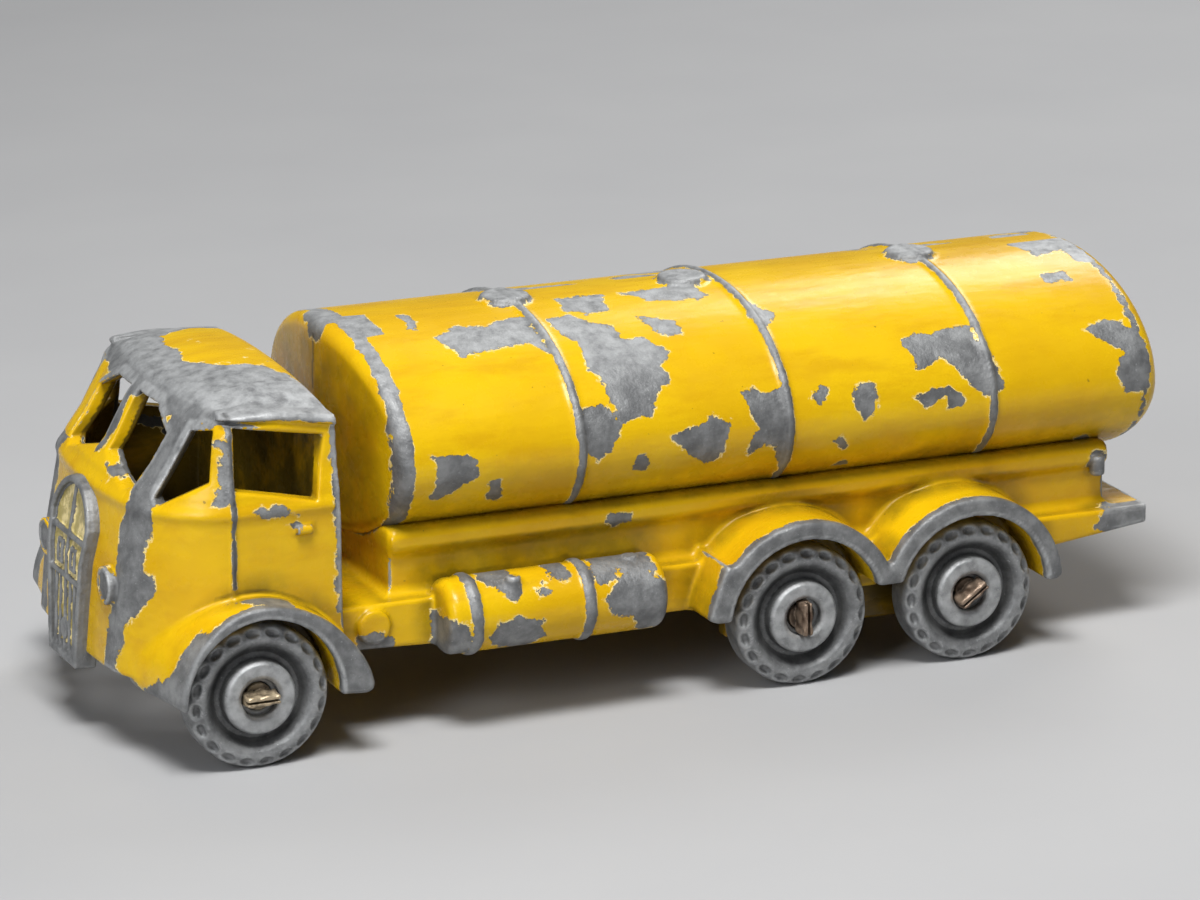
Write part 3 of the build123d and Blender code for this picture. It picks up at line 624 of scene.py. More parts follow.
def new_object(name, points, quads, attributes):
    mesh = bpy.data.meshes.new(name)
    mesh.from_pydata([], [], [])
    mesh.vertices.add(len(points))
    mesh.vertices.foreach_set("co", points.astype(np.float32).ravel())
    mesh.loops.add(quads.size)
    mesh.loops.foreach_set("vertex_index", quads.astype(np.int32).ravel())
    mesh.polygons.add(len(quads))
    mesh.polygons.foreach_set("loop_start", np.arange(0, quads.size, 4, dtype=np.int32))
    mesh.update(calc_edges=True)
    mesh.polygons.foreach_set("use_smooth", np.ones(len(quads), bool))
    for key, value in attributes.items():
        mesh.attributes.new(key, "FLOAT", "POINT").data.foreach_set("value", value.astype(np.float32))
    thing = bpy.data.objects.new(name, mesh)
    bpy.context.scene.collection.objects.link(thing)
    return thing


STEP_SCALE = 1.0

Surface = namedtuple("Surface", "points folded convex")
Surface.__doc__ = "Vertices as placed, the same folded to y >= 0, and how convex each place is."


def cast_piece(name, field, low, high, step, hollow_reach, bare_rule, shade_and_dirt_rule, material):
    """A piece of the casting: its mesh, with where its paint is worn away."""
    step *= STEP_SCALE
    grid, start = sample_grid(field, low, high, step, True)
    points, quads = surface_net(grid, start, step)
    folded, normal, sign = settle(field, points, step, True)
    # the edge value also holds painted light on upward faces high on the roof and tank top
    convex = rubbed_and_top_lit(folded, normal, stands_out(field, folded, normal, 0.3))
    concave = sinks_in(field, folded, normal, hollow_reach)
    points = folded.copy()
    points[:, 1] *= sign
    attributes = {"bare": bare_rule(Surface(points, folded, convex)), "edge": convex}
    # crease: hollows darkened with grime and painted shade, plus the rule's painted shade and dark joints
    attributes["crease"] = np.maximum(concave, shade_and_dirt_rule(points))
    # hemmed: drives painted shade where other parts stand close
    attributes["hemmed"] = hemmed_in(folded, normal)
    thing = new_object(name, to_row_frame(points), quads, attributes)
    thing.data.materials.append(material)
    return thing


def turned_piece(name, field, low, high, step, mirrored, material, rubbed_rule):
    """A wheel or an axle, meshed about its own middle, in millimetres."""
    step *= STEP_SCALE
    grid, start = sample_grid(field, low, high, step, mirrored)
    points, quads = surface_net(grid, start, step)
    folded, normal, sign = settle(field, points, step, mirrored)
    convex = np.maximum(stands_out(field, folded, normal, 0.2), rubbed_rule(folded))
    # crease: hollows darken with grime and painted shade
    concave = sinks_in(field, folded, normal, 0.6)
    points = folded.copy()
    points[:, 1] *= sign
    thing = new_object(name, points * MM, quads, {"edge": convex, "crease": concave})
    thing.data.materials.append(material)
    return thing


# --- Materials ---


class Nodes:
    """A material's node tree, with short ways to add and join its nodes."""

    def __init__(self, name):
        self.material = bpy.data.materials.new(name)
        self.material.use_nodes = True
        self.tree = self.material.node_tree
        self.tree.nodes.clear()
        self.output = self.tree.nodes.new("ShaderNodeOutputMaterial")

    def add(self, kind, inputs=None, **settings):
        node = self.tree.nodes.new("ShaderNode" + kind)
        for key, value in settings.items():
            setattr(node, key, value)
        for key, value in (inputs or {}).items():
            if isinstance(value, bpy.types.NodeSocket):
                self.tree.links.new(value, node.inputs[key])
            else:
                node.inputs[key].default_value = value
        return node

    def math(self, operation, a, b=0.0, clamp=False):
        return self.add("Math", {0: a, 1: b}, operation=operation, use_clamp=clamp).outputs[0]

    def scaled(self, value, gain, offset):
        return self.add("Math", {0: value, 1: gain, 2: offset}, operation="MULTIPLY_ADD").outputs[0]

    def noise(self, per_mm, detail=3.0, roughness=0.5, stretch=None):
        """Noise from 0 to 1 with about this many features to a millimetre."""
        place = self.add("TexCoord").outputs["Object"]
        if stretch:
            place = self.add("Mapping", {0: place, "Scale": stretch}).outputs[0]
        values = {"Vector": place, "Scale": per_mm / MM, "Detail": detail, "Roughness": roughness}
        return self.add("TexNoise", values).outputs[0]

    def attribute(self, name):
        return self.add("Attribute", attribute_name=name).outputs["Fac"]

    def step_up(self, value, low, high):
        """0 below low, 1 above high, smooth between."""
        values = {0: value, 1: low, 2: high, 3: 0.0, 4: 1.0}
        return self.add("MapRange", values, interpolation_type="SMOOTHSTEP").outputs[0]

    def mix(self, share, a, b):
        node = self.add("Mix", {0: share, 6: a, 7: b}, data_type="RGBA")
        return node.outputs[2]

    def tint(self, base, colour, where, strength):
        """Another colour laid over the base, this strongly where the mask is 1."""
        return self.mix(self.math("MULTIPLY", where, strength), base, colour)

    def bump(self, height, strength, depth, below=None):
        """A relief this many millimetres deep, on top of the one below."""
        values = {"Height": height, "Strength": strength, "Distance": depth * MM}
        if below is not None:
            values["Normal"] = below
        return self.add("Bump", values).outputs[0]

    def surface(self, colour, roughness, relief, metallic):
        values = {"Base Color": colour, "Roughness": roughness, "Normal": relief, "Metallic": metallic}
        return self.add("BsdfPrincipled", values)

    def finish(self, shader):
        self.tree.links.new(shader.outputs[0], self.output.inputs["Surface"])
        return self.material


PAINT = (0.80, 0.50, 0.004, 1)
PAINT_DEEP = (0.62, 0.33, 0.003, 1)
# painted highlight: the paint's edge around chips catching light
PAINT_EDGE_HIGHLIGHT = (0.95, 0.78, 0.36, 1)
# painted shade: the paint's colour where other parts of the casting stand close
PAINT_IN_SHADE = (0.15, 0.105, 0.006, 1)
GRILLE_PAINT = (0.52, 0.42, 0.13, 1)
GRILLE_PAINT_DEEP = (0.30, 0.25, 0.12, 1)
# dirt, and painted shade in hollows
DIRT_AND_SHADE = (0.035, 0.024, 0.008, 1)
ZINC = (0.32, 0.325, 0.325, 1)
ZINC_DARK = (0.15, 0.153, 0.155, 1)
ZINC_LIGHT = (0.62, 0.63, 0.63, 1)
# grime, and painted shade in hollows
ZINC_GRIME_AND_SHADE = (0.03, 0.029, 0.027, 1)
# grime, and painted shade in hollows
STEEL_GRIME_AND_SHADE = (0.02, 0.016, 0.012, 1)
LENGTHWISE = (0.3, 1.0, 1.0)


def zinc_colour(nodes, crease, edge):
    """Dull oxidised zinc: mottled grey, darker in hollows, rubbed bright on edges."""
    mottle = nodes.step_up(nodes.noise(1.1, 5.0, 0.62), 0.3, 0.72)
    colour = nodes.mix(mottle, ZINC_DARK, ZINC)
    uneven = nodes.step_up(nodes.noise(1.6, 5.0, 0.62), 0.2, 0.7)
    bright = nodes.math("MULTIPLY", nodes.step_up(edge, 0.12, 0.6), uneven)
    colour = nodes.tint(colour, ZINC_LIGHT, bright, 0.7)
    specks = nodes.step_up(nodes.noise(7.0, 3.0, 0.7), 0.63, 0.72)
    colour = nodes.tint(colour, ZINC_LIGHT, specks, 0.45)
    return nodes.mix(nodes.math("MULTIPLY", crease, 0.7, True), colour, ZINC_GRIME_AND_SHADE)


def old_paint(nodes, crease, hemmed, paint_colour, deep_colour):
    """Enamel that has deepened in patches, with dull places, grime, stains and specks."""
    shade = nodes.step_up(nodes.noise(0.16, 3.0), 0.35, 0.7)
    paint = nodes.tint(paint_colour, deep_colour, shade, 0.55)
    # painted shade: the paint darkens where other parts of the casting stand close
    painted_shade = nodes.math("MULTIPLY", hemmed, nodes.step_up(nodes.noise(0.5, 5.0, 0.6), 0.05, 0.7))
    paint = nodes.tint(paint, PAINT_IN_SHADE, painted_shade, 0.75)
    deepest = nodes.step_up(crease, 0.9, 1.0)
    patchy = nodes.step_up(nodes.noise(0.9, 5.0, 0.6), 0.25, 0.65)
    # grime and painted shade: hollows and the dark rules below darken the paint
    grime_and_shade = nodes.step_up(crease, 0.15, 0.65)
    grime_and_shade = nodes.math("MULTIPLY", grime_and_shade, nodes.math("MAXIMUM", patchy, deepest))
    grime_and_shade = nodes.math("MULTIPLY", grime_and_shade, nodes.scaled(deepest, 0.35, 0.5))
    paint = nodes.mix(grime_and_shade, paint, DIRT_AND_SHADE)
    stains = nodes.step_up(nodes.noise(0.5, 5.0, 0.65, LENGTHWISE), 0.46, 0.7)
    paint = nodes.tint(paint, deep_colour, stains, 0.6)
    specks = nodes.step_up(nodes.noise(3.4, 2.0, 0.4), 0.77, 0.79)
    return nodes.tint(paint, DIRT_AND_SHADE, specks, 0.55)


def chipped_enamel(name, paint_colour, deep_colour, raggedness):
    """Enamel over zinc, gone where "bare", made ragged by noise, is positive."""
    nodes = Nodes(name)
    edge, crease = nodes.attribute("edge"), nodes.attribute("crease")
    # hemmed drives painted shade on paint and bare metal alike
    hemmed = nodes.step_up(nodes.attribute("hemmed"), 0.2, 0.85)
    jagged = nodes.math("SUBTRACT", nodes.noise(1.3, 6.0, 0.68), 0.5)
    jagged = nodes.math("MULTIPLY", jagged, raggedness)
    bare = nodes.math("ADD", jagged, nodes.attribute("bare"))
    chipped = nodes.step_up(bare, -0.012, 0.012)
    whole = nodes.math("SUBTRACT", 1.0, chipped)
    # painted highlight: a cream lip just outside each chip, where the paint's edge catches light
    lip_highlight = nodes.math("MULTIPLY", nodes.step_up(bare, -0.1, -0.02), whole)
    lip_highlight = nodes.math("MULTIPLY", lip_highlight, nodes.step_up(nodes.noise(1.4, 2.0), 0.42, 0.6))
    paint = old_paint(nodes, crease, hemmed, paint_colour, deep_colour)
    paint = nodes.mix(lip_highlight, paint, PAINT_EDGE_HIGHLIGHT)
    # painted shade: bare metal darkens where other parts stand close
    metal = nodes.tint(zinc_colour(nodes, crease, edge), ZINC_DARK, hemmed, 0.5)
    # painted shadow: a dark line just inside each chip's edge
    well_inside = nodes.step_up(bare, 0.0, 0.07)
    inner_shadow_line = nodes.math("MULTIPLY", chipped, nodes.math("SUBTRACT", 1.0, well_inside))
    metal = nodes.tint(metal, ZINC_DARK, inner_shadow_line, 0.6)
    thickness = nodes.bump(nodes.math("MULTIPLY", chipped, -1.0), 0.8, 0.05)
    pitted = nodes.bump(nodes.noise(4.5, 5.0, 0.65), 0.75, 0.06, thickness)
    rippled = nodes.bump(nodes.noise(0.9, 3.0, 0.5, LENGTHWISE), 0.6, 0.09, thickness)
    enamel = nodes.surface(paint, nodes.scaled(nodes.noise(1.3, 4.0), 0.16, 0.2), rippled, 0.0)
    enamel.inputs["Specular IOR Level"].default_value = 0.32
    zinc = nodes.surface(metal, nodes.scaled(nodes.noise(2.4, 4.0), 0.3, 0.36), pitted, 0.4)
    both = nodes.add("MixShader", {0: chipped, 1: enamel.outputs[0], 2: zinc.outputs[0]})
    return nodes.finish(both)


def bare_zinc():
    nodes = Nodes("bare_zinc")
    colour = zinc_colour(nodes, nodes.attribute("crease"), nodes.attribute("edge"))
    pitted = nodes.bump(nodes.noise(5.0, 5.0, 0.65), 0.6, 0.05)
    roughness = nodes.scaled(nodes.noise(2.4, 4.0), 0.28, 0.34)
    return nodes.finish(nodes.surface(colour, roughness, pitted, 0.45))


def tarnished_steel(name, clean, stained):
    nodes = Nodes(name)
    brown = nodes.step_up(nodes.noise(1.8, 5.0, 0.6), 0.4, 0.66)
    colour = nodes.mix(brown, clean, stained)
    # grime and painted shade in the pins' hollows
    colour = nodes.mix(nodes.attribute("crease"), colour, STEEL_GRIME_AND_SHADE)
    pitted = nodes.bump(nodes.noise(5.5, 4.0, 0.6), 0.7, 0.05)
    roughness = nodes.scaled(nodes.noise(3.0, 3.0), 0.3, 0.26)
    return nodes.finish(nodes.surface(colour, roughness, pitted, 0.6))


def pale_paper():
    nodes = Nodes("pale_paper")
    colour = nodes.mix(nodes.noise(0.08, 4.0), (0.43, 0.43, 0.435, 1), (0.47, 0.47, 0.47, 1))
    shader = nodes.add("BsdfPrincipled", {"Base Color": colour, "Roughness": 0.8})
    return nodes.finish(shader)


# --- Where the paint is gone: positive is bare metal, in millimetres ---

# On the tank an outline's points are x and the angle up from the side, in degrees
NEAR_CHIPS = [
    [(10.7, 9), (9.8, 8), (9.1, 7), (8.6, 3), (8.5, -4), (8.9, -9), (9.5, -12)]
    + [(10.3, -19), (10.6, -16), (10.3, 0)],
    [(7.9, -9), (7.3, -8), (7.2, -21), (7.4, -27), (7.9, -20)],
    [(8.5, 66), (7.1, 72), (6.1, 70), (4.5, 73), (3.8, 75), (3.8, 50), (4.4, 57)]
    + [(6.3, 56), (7.9, 53), (8.2, 60)],
    [(9.1, 85), (8.7, 84), (8.6, 78), (8.9, 73), (9.3, 74)],
    [(1.7, 84), (-0.6, 84), (-0.2, 77), (-0.1, 71), (0.9, 70), (1.9, 74)],
    [(-1.4, 83), (-4.1, 85), (-5.0, 82), (-5.2, 74), (-4.5, 72), (-2.4, 75)],
    [(-1.1, 65), (-2.1, 63), (-2.7, 60), (-2.6, 52), (-2.1, 53), (-1.6, 56)],
    [(3.0, 69), (1.9, 71), (0.8, 63), (0.2, 61), (0.2, 54), (-0.8, 53), (-1.3, 48), (-1.6, 44), (-1.0, 38)]
    + [(-1.2, 32), (-0.3, 25), (0.2, 15), (1.5, 13), (2.0, 2), (2.9, -6), (3.1, -2), (3.4, 5), (3.5, 15)]
    + [(3.3, 22), (2.4, 23), (1.8, 16), (1.6, 19), (2.1, 27), (2.1, 35), (2.5, 40), (2.3, 54), (2.8, 60)],
    [(-0.7, 3), (-1.5, 7), (-2.0, 7), (-2.7, 12), (-3.4, 8), (-3.4, -2), (-3.1, -12)]
    + [(-2.3, -16), (-1.5, -9)],
    [(1.1, -14), (1.0, -6), (0.7, -4), (0.4, -9), (0.5, -16)],
    [(-4.2, 21), (-4.9, 22), (-5.4, 19), (-6.5, 23), (-6.5, -42), (-6.1, -22), (-5.7, -10), (-5.1, -7)]
    + [(-4.5, -15), (-4.2, -11), (-4.8, 2), (-4.5, 16)],
    [(-6.2, 71), (-6.9, 65), (-7.4, 57), (-6.3, 50)],
    [(-12.6, 37), (-13.6, 39), (-16.1, 40), (-16.4, 28), (-17.1, 12), (-17.0, 7), (-16.2, 5), (-15.3, 11)]
    + [(-14.8, 22), (-14.2, 28), (-13.6, 23), (-13.0, 22)],
    [(-9.5, 14), (-10.0, 18), (-10.6, 18), (-10.8, 12), (-10.5, 2), (-10.1, 0), (-9.6, 6)],
    [(-12.4, 9), (-13.4, 12), (-14.3, 12), (-15.0, 6), (-14.8, 1), (-14.2, 1), (-14.1, 8), (-13.2, 3)],
    [(-7.6, 15), (-8.1, 20), (-8.4, 17), (-7.9, 10)],
    [(-8.5, -11), (-9.0, -8), (-9.4, -14), (-9.2, -18)],
    [(-9.1, -32), (-9.6, -28), (-10.0, -34)],
    [(-21.1, 64), (-22.3, 63), (-22.4, 58), (-21.2, 59)],
    [(-21.4, -38), (-21.9, -33), (-22.8, -45)],
    [(-21.6, 32), (-22.8, 35), (-23.5, 34), (-24.6, 24), (-24.5, -2), (-23.2, -3), (-22.7, 8), (-23.2, 19)],
    [(-21.3, 92), (-22.8, 97), (-24.4, 95), (-24.5, 68), (-23.5, 69), (-23.4, 79), (-21.9, 76)],
]
FACE_CHIP = [(-2.2, 16.3), (-2.2, 17.0), (0.8, 17.0), (0.8, 16.1), (0.4, 15.7), (-0.6, 15.8), (-1.0, 16.2)]
MM_TO_A_DEGREE = 0.115
# The far side wears the near side's chips, turned end for end and moved apart
FAR_MIDDLE_X = -6.0
FAR_SHIFT = 9.5


def chips(u, v, outlines):
    """How deep inside the nearest chip's outline a point is, in millimetres."""
    deepest = np.full(len(u), -3.0)
    for corners in outlines:
        deepest = np.maximum(deepest, -polygon(u, v, corners))
    return deepest


def tank_bare(surface):
    x, y, z = surface.folded.T
    tall = np.where(z > TANK_MID_Z, TANK_RISE, TANK_DROP)
    angle = np.degrees(np.arctan2((z - TANK_MID_Z) / tall, y / TANK_HALF))
    around = angle * MM_TO_A_DEGREE
    outlines = [[(u, v * MM_TO_A_DEGREE) for u, v in outline] for outline in NEAR_CHIPS]
    placed_y = surface.points[:, 1]
    near = placed_y > 0
    along = np.where(near, x, 2 * FAR_MIDDLE_X - x + FAR_SHIFT * np.sign(x - FAR_MIDDLE_X))
    along = np.where(near | (angle < 80), along, 99.0)
    bare = chips(along, np.where(near, around, around - 0.4), outlines)
    front_band = 2 * np.minimum(x - np.where(near & (angle > 72), 10.5, 11.42), 12.12 - x)
    bare = np.where(x < 12.2, bare, -1.0)
    bare = np.maximum(bare, front_band)
    rear_band = np.minimum(TANK_REAR_X + 1.35 - x, x - TANK_REAR_X - 0.65)
    bare = np.maximum(bare, rear_band - 0.2)
    bare = np.maximum(bare, np.where(x > 11.9, chips(placed_y, z, [FACE_CHIP]), -1.0))
    for rib_x in RIB_X:
        worn = 0.19 - np.abs(x - rib_x)
        bare = np.maximum(bare, 3.2 * np.minimum(worn, z - FLANGE_TOP + 0.2))
    for filler_x in FILLER_X:
        bare = np.maximum(bare, np.minimum(FILLER_R + 0.12 - np.hypot(x - filler_x, y), z - 16.4))
    return bare


RIM_WEAR = 0.32
# On the chassis's sides an outline's points are x and z
DECK_CHIPS = [
    [(8.5, 3.9), (8.4, 4.9), (7.2, 5.1), (6.1, 4.7), (5.9, 4.0), (6.5, 3.4), (7.6, 3.5)],
    [(3.2, 5.4), (2.2, 6.3), (0.9, 6.4), (0.1, 5.7), (-0.1, 3.6), (1.2, 3.5), (1.9, 4.4), (2.9, 4.7)],
    [(10.6, 5.3), (9.7, 5.1), (9.3, 4.5), (9.4, 3.2), (10.6, 3.2)],
    [(-21.9, 7.2), (-22.8, 7.2), (-22.8, 8.4), (-21.9, 8.4)],
    [(6.6, 6.1), (5.9, 6.3), (5.7, 5.9), (6.3, 5.7)],
    [(4.1, 4.6), (3.7, 4.7), (3.6, 4.0), (4.0, 3.9)],
    [(2.0, 8.1), (1.7, 8.35), (0.8, 8.25), (0.9, 7.9), (1.6, 7.75)],
    [(13.9, 4.5), (13.2, 4.7), (12.4, 4.2), (12.2, 3.5), (14.0, 3.5)],
    [(-21.9, 5.0), (-22.6, 5.9), (-25.0, 6.0), (-25.0, 4.4), (-22.9, 4.5)],
    [(3.4, 6.1), (2.9, 5.95), (2.3, 6.35), (1.2, 6.05), (0.6, 6.3), (0.4, 6.9), (3.3, 6.9)],
    [(7.9, 6.2), (7.3, 5.7), (6.9, 6.1), (7.2, 6.9), (8.6, 6.9), (8.5, 6.4)],
    [(5.4, 6.5), (4.9, 6.2), (4.5, 6.5), (4.6, 6.9), (5.6, 6.9)],
]


def rim_wear(x, y):
    """Wear on the mudguards' faces and just over their edges."""
    from_axle = np.minimum(np.abs(x - REAR_AXLE[0]), np.abs(x - MIDDLE_AXLE[0]))
    from_axle = np.minimum(from_axle, np.abs(x - FRONT_AXLE[0]))
    worn = RIM_WEAR - np.maximum(GUARD_FACE_Y - 0.15 - y, 0)
    return np.where((from_axle < 5.4) & (y > GUARD_FACE_Y - 1.2), worn, -1.0)


def chassis_bare(surface):
    x, y, z = surface.folded.T
    bare = np.maximum((surface.convex - 0.66) * 1.1, rim_wear(x, y))
    strap = 2.4 * (0.27 - np.minimum(np.abs(x - STRAP_X[0]), np.abs(x - STRAP_X[1])))
    bare = np.maximum(bare, np.where((y > 7.6) & (z < 7.0), strap, -1.0))
    marks = chips(np.where(surface.points[:, 1] > 0, x, x + 0.7), z, DECK_CHIPS)
    return np.maximum(bare, np.where(y > 7.1, marks, -1.0))


# On the nose an outline's points are y and z; on the doors x and z; on top x and y
STRIP = [(4.2, 15.2), (4.2, 13.0), (4.35, 12.0), (4.5, 10.9), (4.4, 10.0), (4.3, 9.2), (4.5, 7.8), (4.6, 6.4)]
STRIP += [(4.2, 5.4), (4.0, 3.0), (5.0, 3.0), (5.3, 4.2), (5.5, 5.0), (5.8, 5.9), (6.5, 6.7), (6.7, 7.4)]
STRIP += [(6.7, 8.0), (6.2, 8.1), (6.1, 9.2), (6.3, 10.4), (6.2, 11.0), (6.1, 11.7), (6.0, 12.8), (6.2, 14.0)]
STRIP += [(6.9, 15.2)]
NOSE_CHIPS = [
    STRIP,
    [(1.1, 11.6), (2.1, 11.8), (2.9, 11.3), (2.2, 11.3)],
    [(1.9, 11.0), (2.4, 11.1), (2.3, 10.8)],
    [(-0.45, 14.9), (-0.5, 12.6), (-0.3, 11.7), (0.05, 11.8), (0.25, 12.8), (0.3, 14.9)],
    [(4.6, 1.8), (4.7, 3.7), (5.6, 3.4), (6.6, 2.9), (7.6, 3.5), (9.2, 4.3), (9.4, 1.8)],
]
DOOR_CHIPS = [
    [(17.3, 10.1), (16.9, 10.15), (16.6, 9.95), (16.9, 9.85)],
    [(18.8, 10.8), (18.5, 11.0), (17.3, 10.8), (16.7, 10.4), (17.6, 10.4), (18.3, 10.5)],
    [(20.1, 13.9), (19.6, 13.9), (19.6, 11.3), (20.5, 11.2), (20.1, 12.0), (20.0, 12.9)],
]
ROOF_PAINT = [(18.4, -4.2), (16.8, -4.9), (15.2, -4.4), (14.3, -2.5), (14.3, 5.6), (15.0, 5.3), (15.5, 4.2)]
ROOF_PAINT += [(16.0, 3.1), (16.9, 2.4), (17.8, 2.4), (18.4, 1.5), (19.1, 0.4), (18.7, -0.9), (18.9, -2.6)]
GUARD_TOP = [(20.3, 7.6), (19.0, 9.7), (17.4, 10.6), (17.5, 8.6), (18.7, 7.9), (19.8, 8.8)]


def cab_bare(surface):
    x, y, z = surface.folded.T
    placed_y = surface.points[:, 1]
    bare = np.maximum((surface.convex - 0.72) * 0.9, rim_wear(x, y))
    nose_marks = chips(placed_y, z, NOSE_CHIPS)
    nose_marks = np.maximum(nose_marks, np.where(z < 11.3, chips(y, z, [STRIP]), -1.0))
    bare = np.maximum(bare, np.where((x > 20.2) & (y < 9.3), nose_marks, -1.0))
    bare = np.maximum(bare, np.where(y > 7.2, chips(x, z, DOOR_CHIPS), -1.0))
    rail_z = np.interp(x, (14.8, 17.5, 19.6, 21.5), (14.15, 14.6, 14.5, 14.15))
    roof = np.minimum(2 * (z - rail_z), polygon(x, placed_y, ROOF_PAINT))
    bare = np.maximum(bare, roof)
    rear_edge = np.minimum(CAB_REAR_X + 0.28 - x, y - 7.0)
    bare = np.maximum(bare, np.minimum(rear_edge, z - 5.9))
    door_line = 3 * (0.11 - np.abs(from_door(x, z)))
    bare = np.maximum(bare, np.where((y > 7.0) & (z > 7.4), door_line, -1.0))
    lamp = 0.72 - np.hypot(y - 4.1, z - 6.9)
    bare = np.maximum(bare, np.where(x > 23.6, lamp, -1.0))
    dx, dz = x - FRONT_AXLE[0], z - FRONT_AXLE[1]
    low_front = np.minimum(dx - 1.6, y - 8.65 + 0.25 * (3.6 - dx)) - 0.25 * dz
    on_guard = (np.hypot(dx, dz) < 4.9) & (y > 8.75)
    bare = np.maximum(bare, np.where(on_guard, low_front, -1.0))
    return np.maximum(bare, np.where(on_guard & (dz > 3), chips(x, y, [GUARD_TOP]), -1.0))


def cab_shade_and_joints(points):
    """The inside of the cab is dull and dark, and so is the door's edge."""
    x, y, z = points[:, 0], np.abs(points[:, 1]), points[:, 2]
    inside = (cab_outline(x, y, z) < -0.5) & (z < roof_top(x, y) - 0.5)
    on_side = (y > 7.0) & (z > 7.2)
    door_line = np.where(on_side, 1.1 - np.abs(from_door(x, z)) / 0.2, 0)
    around = np.hypot(x - FRONT_AXLE[0], z - FRONT_AXLE[1])
    by_guard = (y > 8.2) & (y < 8.75) & (z > 4.5)
    guard_seam = np.where(by_guard, 1.1 - np.abs(around - 4.34) / 0.14, 0)
    behind_wheel = (around < FRONT_ARCH_R) & (y < WEB_OUTER_Y + 0.1)
    # painted shade: the cab's inside and the web behind the front wheel are set fully dark
    return np.where(inside | behind_wheel, 1.0, np.clip(np.maximum(door_line, guard_seam), 0, 1))


def chassis_painted_shade(points):
    """The webs behind the rear wheels are dark with dirt."""
    x, y, z = points[:, 0], np.abs(points[:, 1]), points[:, 2]
    low = (y < WEB_OUTER_Y + 0.1) & (y > WEB_INNER_Y - 0.1) & (z < 5.1)
    return np.where(low & (x < MIDDLE_AXLE[0] + REAR_ARCH_R), 1.0, 0.0)


def tank_seam_and_shade(points):
    """A dark seam down the front face, dirt beside the ribs, and a dull lower half."""
    x, y, z = points.T
    seam = (x > 12.3) & (np.abs(y + 0.1 * (16 - z)) < 0.13) & (z > 13.4) & (z < 16.0)
    # painted shade: the lower half darkens towards the bottom
    shade_and_grime = 0.38 * np.clip((TANK_MID_Z + 1.5 - z) / 3.0, 0, 1)
    # grime and painted shade in the corners beside each rib
    for rib_x in RIB_X:
        beside = np.clip(1 - np.abs(np.abs(x - rib_x) - 0.2) / 0.12, 0, 1)
        shade_and_grime = np.maximum(shade_and_grime, 0.5 * beside)
    return np.where(seam, 1.0, shade_and_grime)


def no_dirt(points):
    return np.zeros(len(points))


def not_rubbed(points):
    return np.zeros(len(points))


def hub_rubbed(points):
    """Hubs and the tyres' shoulders are handled most, so they are brightest."""
    radius, y = np.hypot(points[:, 0], points[:, 2]), points[:, 1]
    hub = (radius < 1.64) & (y > 1.6)
    shoulder = 0.32 * np.clip(1 - np.abs(radius - 2.6) / 0.35, 0, 1)
    return np.where(hub, 0.55, shoulder)


def grille_bare(surface):
    x, y, z = surface.folded.T
    proud = nose_front(x, z) - GRILLE_PROUD
    on_rim = np.where(polygon(y, z, SHIELD) > -0.38, 0.4, -1.0)
    sill = np.where(z < 3.3, 0.05, -1.0)
    return np.maximum(np.maximum(on_rim, sill), 0.16 + 0.8 * proud)


# --- Pieces ---

enamel = chipped_enamel("chipped_enamel", PAINT, PAINT_DEEP, 1.15)
grille_enamel = chipped_enamel("worn_grille_enamel", GRILLE_PAINT, GRILLE_PAINT_DEEP, 0.32)
zinc = bare_zinc()
STEEL = {
    "front": tarnished_steel("tarnished_steel", (0.62, 0.50, 0.33, 1), (0.20, 0.15, 0.10, 1)),
    "middle": tarnished_steel("rusty_steel", (0.34, 0.25, 0.18, 1), (0.12, 0.075, 0.05, 1)),
}
STEEL["rear"] = STEEL["middle"]

TANK_NODES = ["tank_barrel", "tank_front_end", "tank_rear_end"]
TANK_NODES += [f"tank_rib_{number}" for number in (1, 2, 3)]
TANK_NODES += [f"filler_cap_{place}" for place in AXLE_X]
CHASSIS_NODES = ["chassis_deck", "chassis_bosses", "rear_platform", "tank_cradle", "tail_lugs"]
CHASSIS_PAIRS = ("middle_mudguard", "rear_mudguard", "side_tank")
CHASSIS_NODES += [f"{part}_{side}" for part in CHASSIS_PAIRS for side in ("left", "right")]
CAB_NODES = ["cab_shell", "cab_roof", "drip_rails", "door_handles"]
CAB_NODES += [f"{part}_{side}" for part in ("front_mudguard", "headlamp") for side in ("left", "right")]

CASTING_PIECES = [
    (
        ("tank_casting", tank_field, (-25.6, 0, 6.9), (13.3, 9.0, 17.3), 0.13, 0.7),
        (tank_bare, tank_seam_and_shade, enamel),
        TANK_NODES,
    ),
    (
        ("chassis_casting", chassis_field, (-25.2, 0, 1.5), (15.8, 10.7, 9.2), 0.13, 0.3),
        (chassis_bare, chassis_painted_shade, enamel),
        CHASSIS_NODES,
    ),
    (
        ("cab_casting", cab_field, (13.6, 0, 1.5), (24.9, 10.7, 16.4), 0.11, 0.4),
        (cab_bare, cab_shade_and_joints, enamel),
        CAB_NODES,
    ),
    (
        ("radiator_shield", grille_field, (22.0, 0, 2.2), (25.3, 2.9, 11.2), 0.065, 0.2),
        (grille_bare, no_dirt, grille_enamel),
        ["radiator_grille"],
    ),
]
for shape, looks, replaced in CASTING_PIECES:
    piece = cast_piece(*shape, *looks)
    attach(piece, "casting")
    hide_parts(*replaced)

PIN_END_Y = 9.55
BLADE_Y = (9.5, 9.5 + CRIMP_LENGTH)
BLADE_HALF_WIDTH = 0.76
BLADE_HALF_DEPTH = 0.29


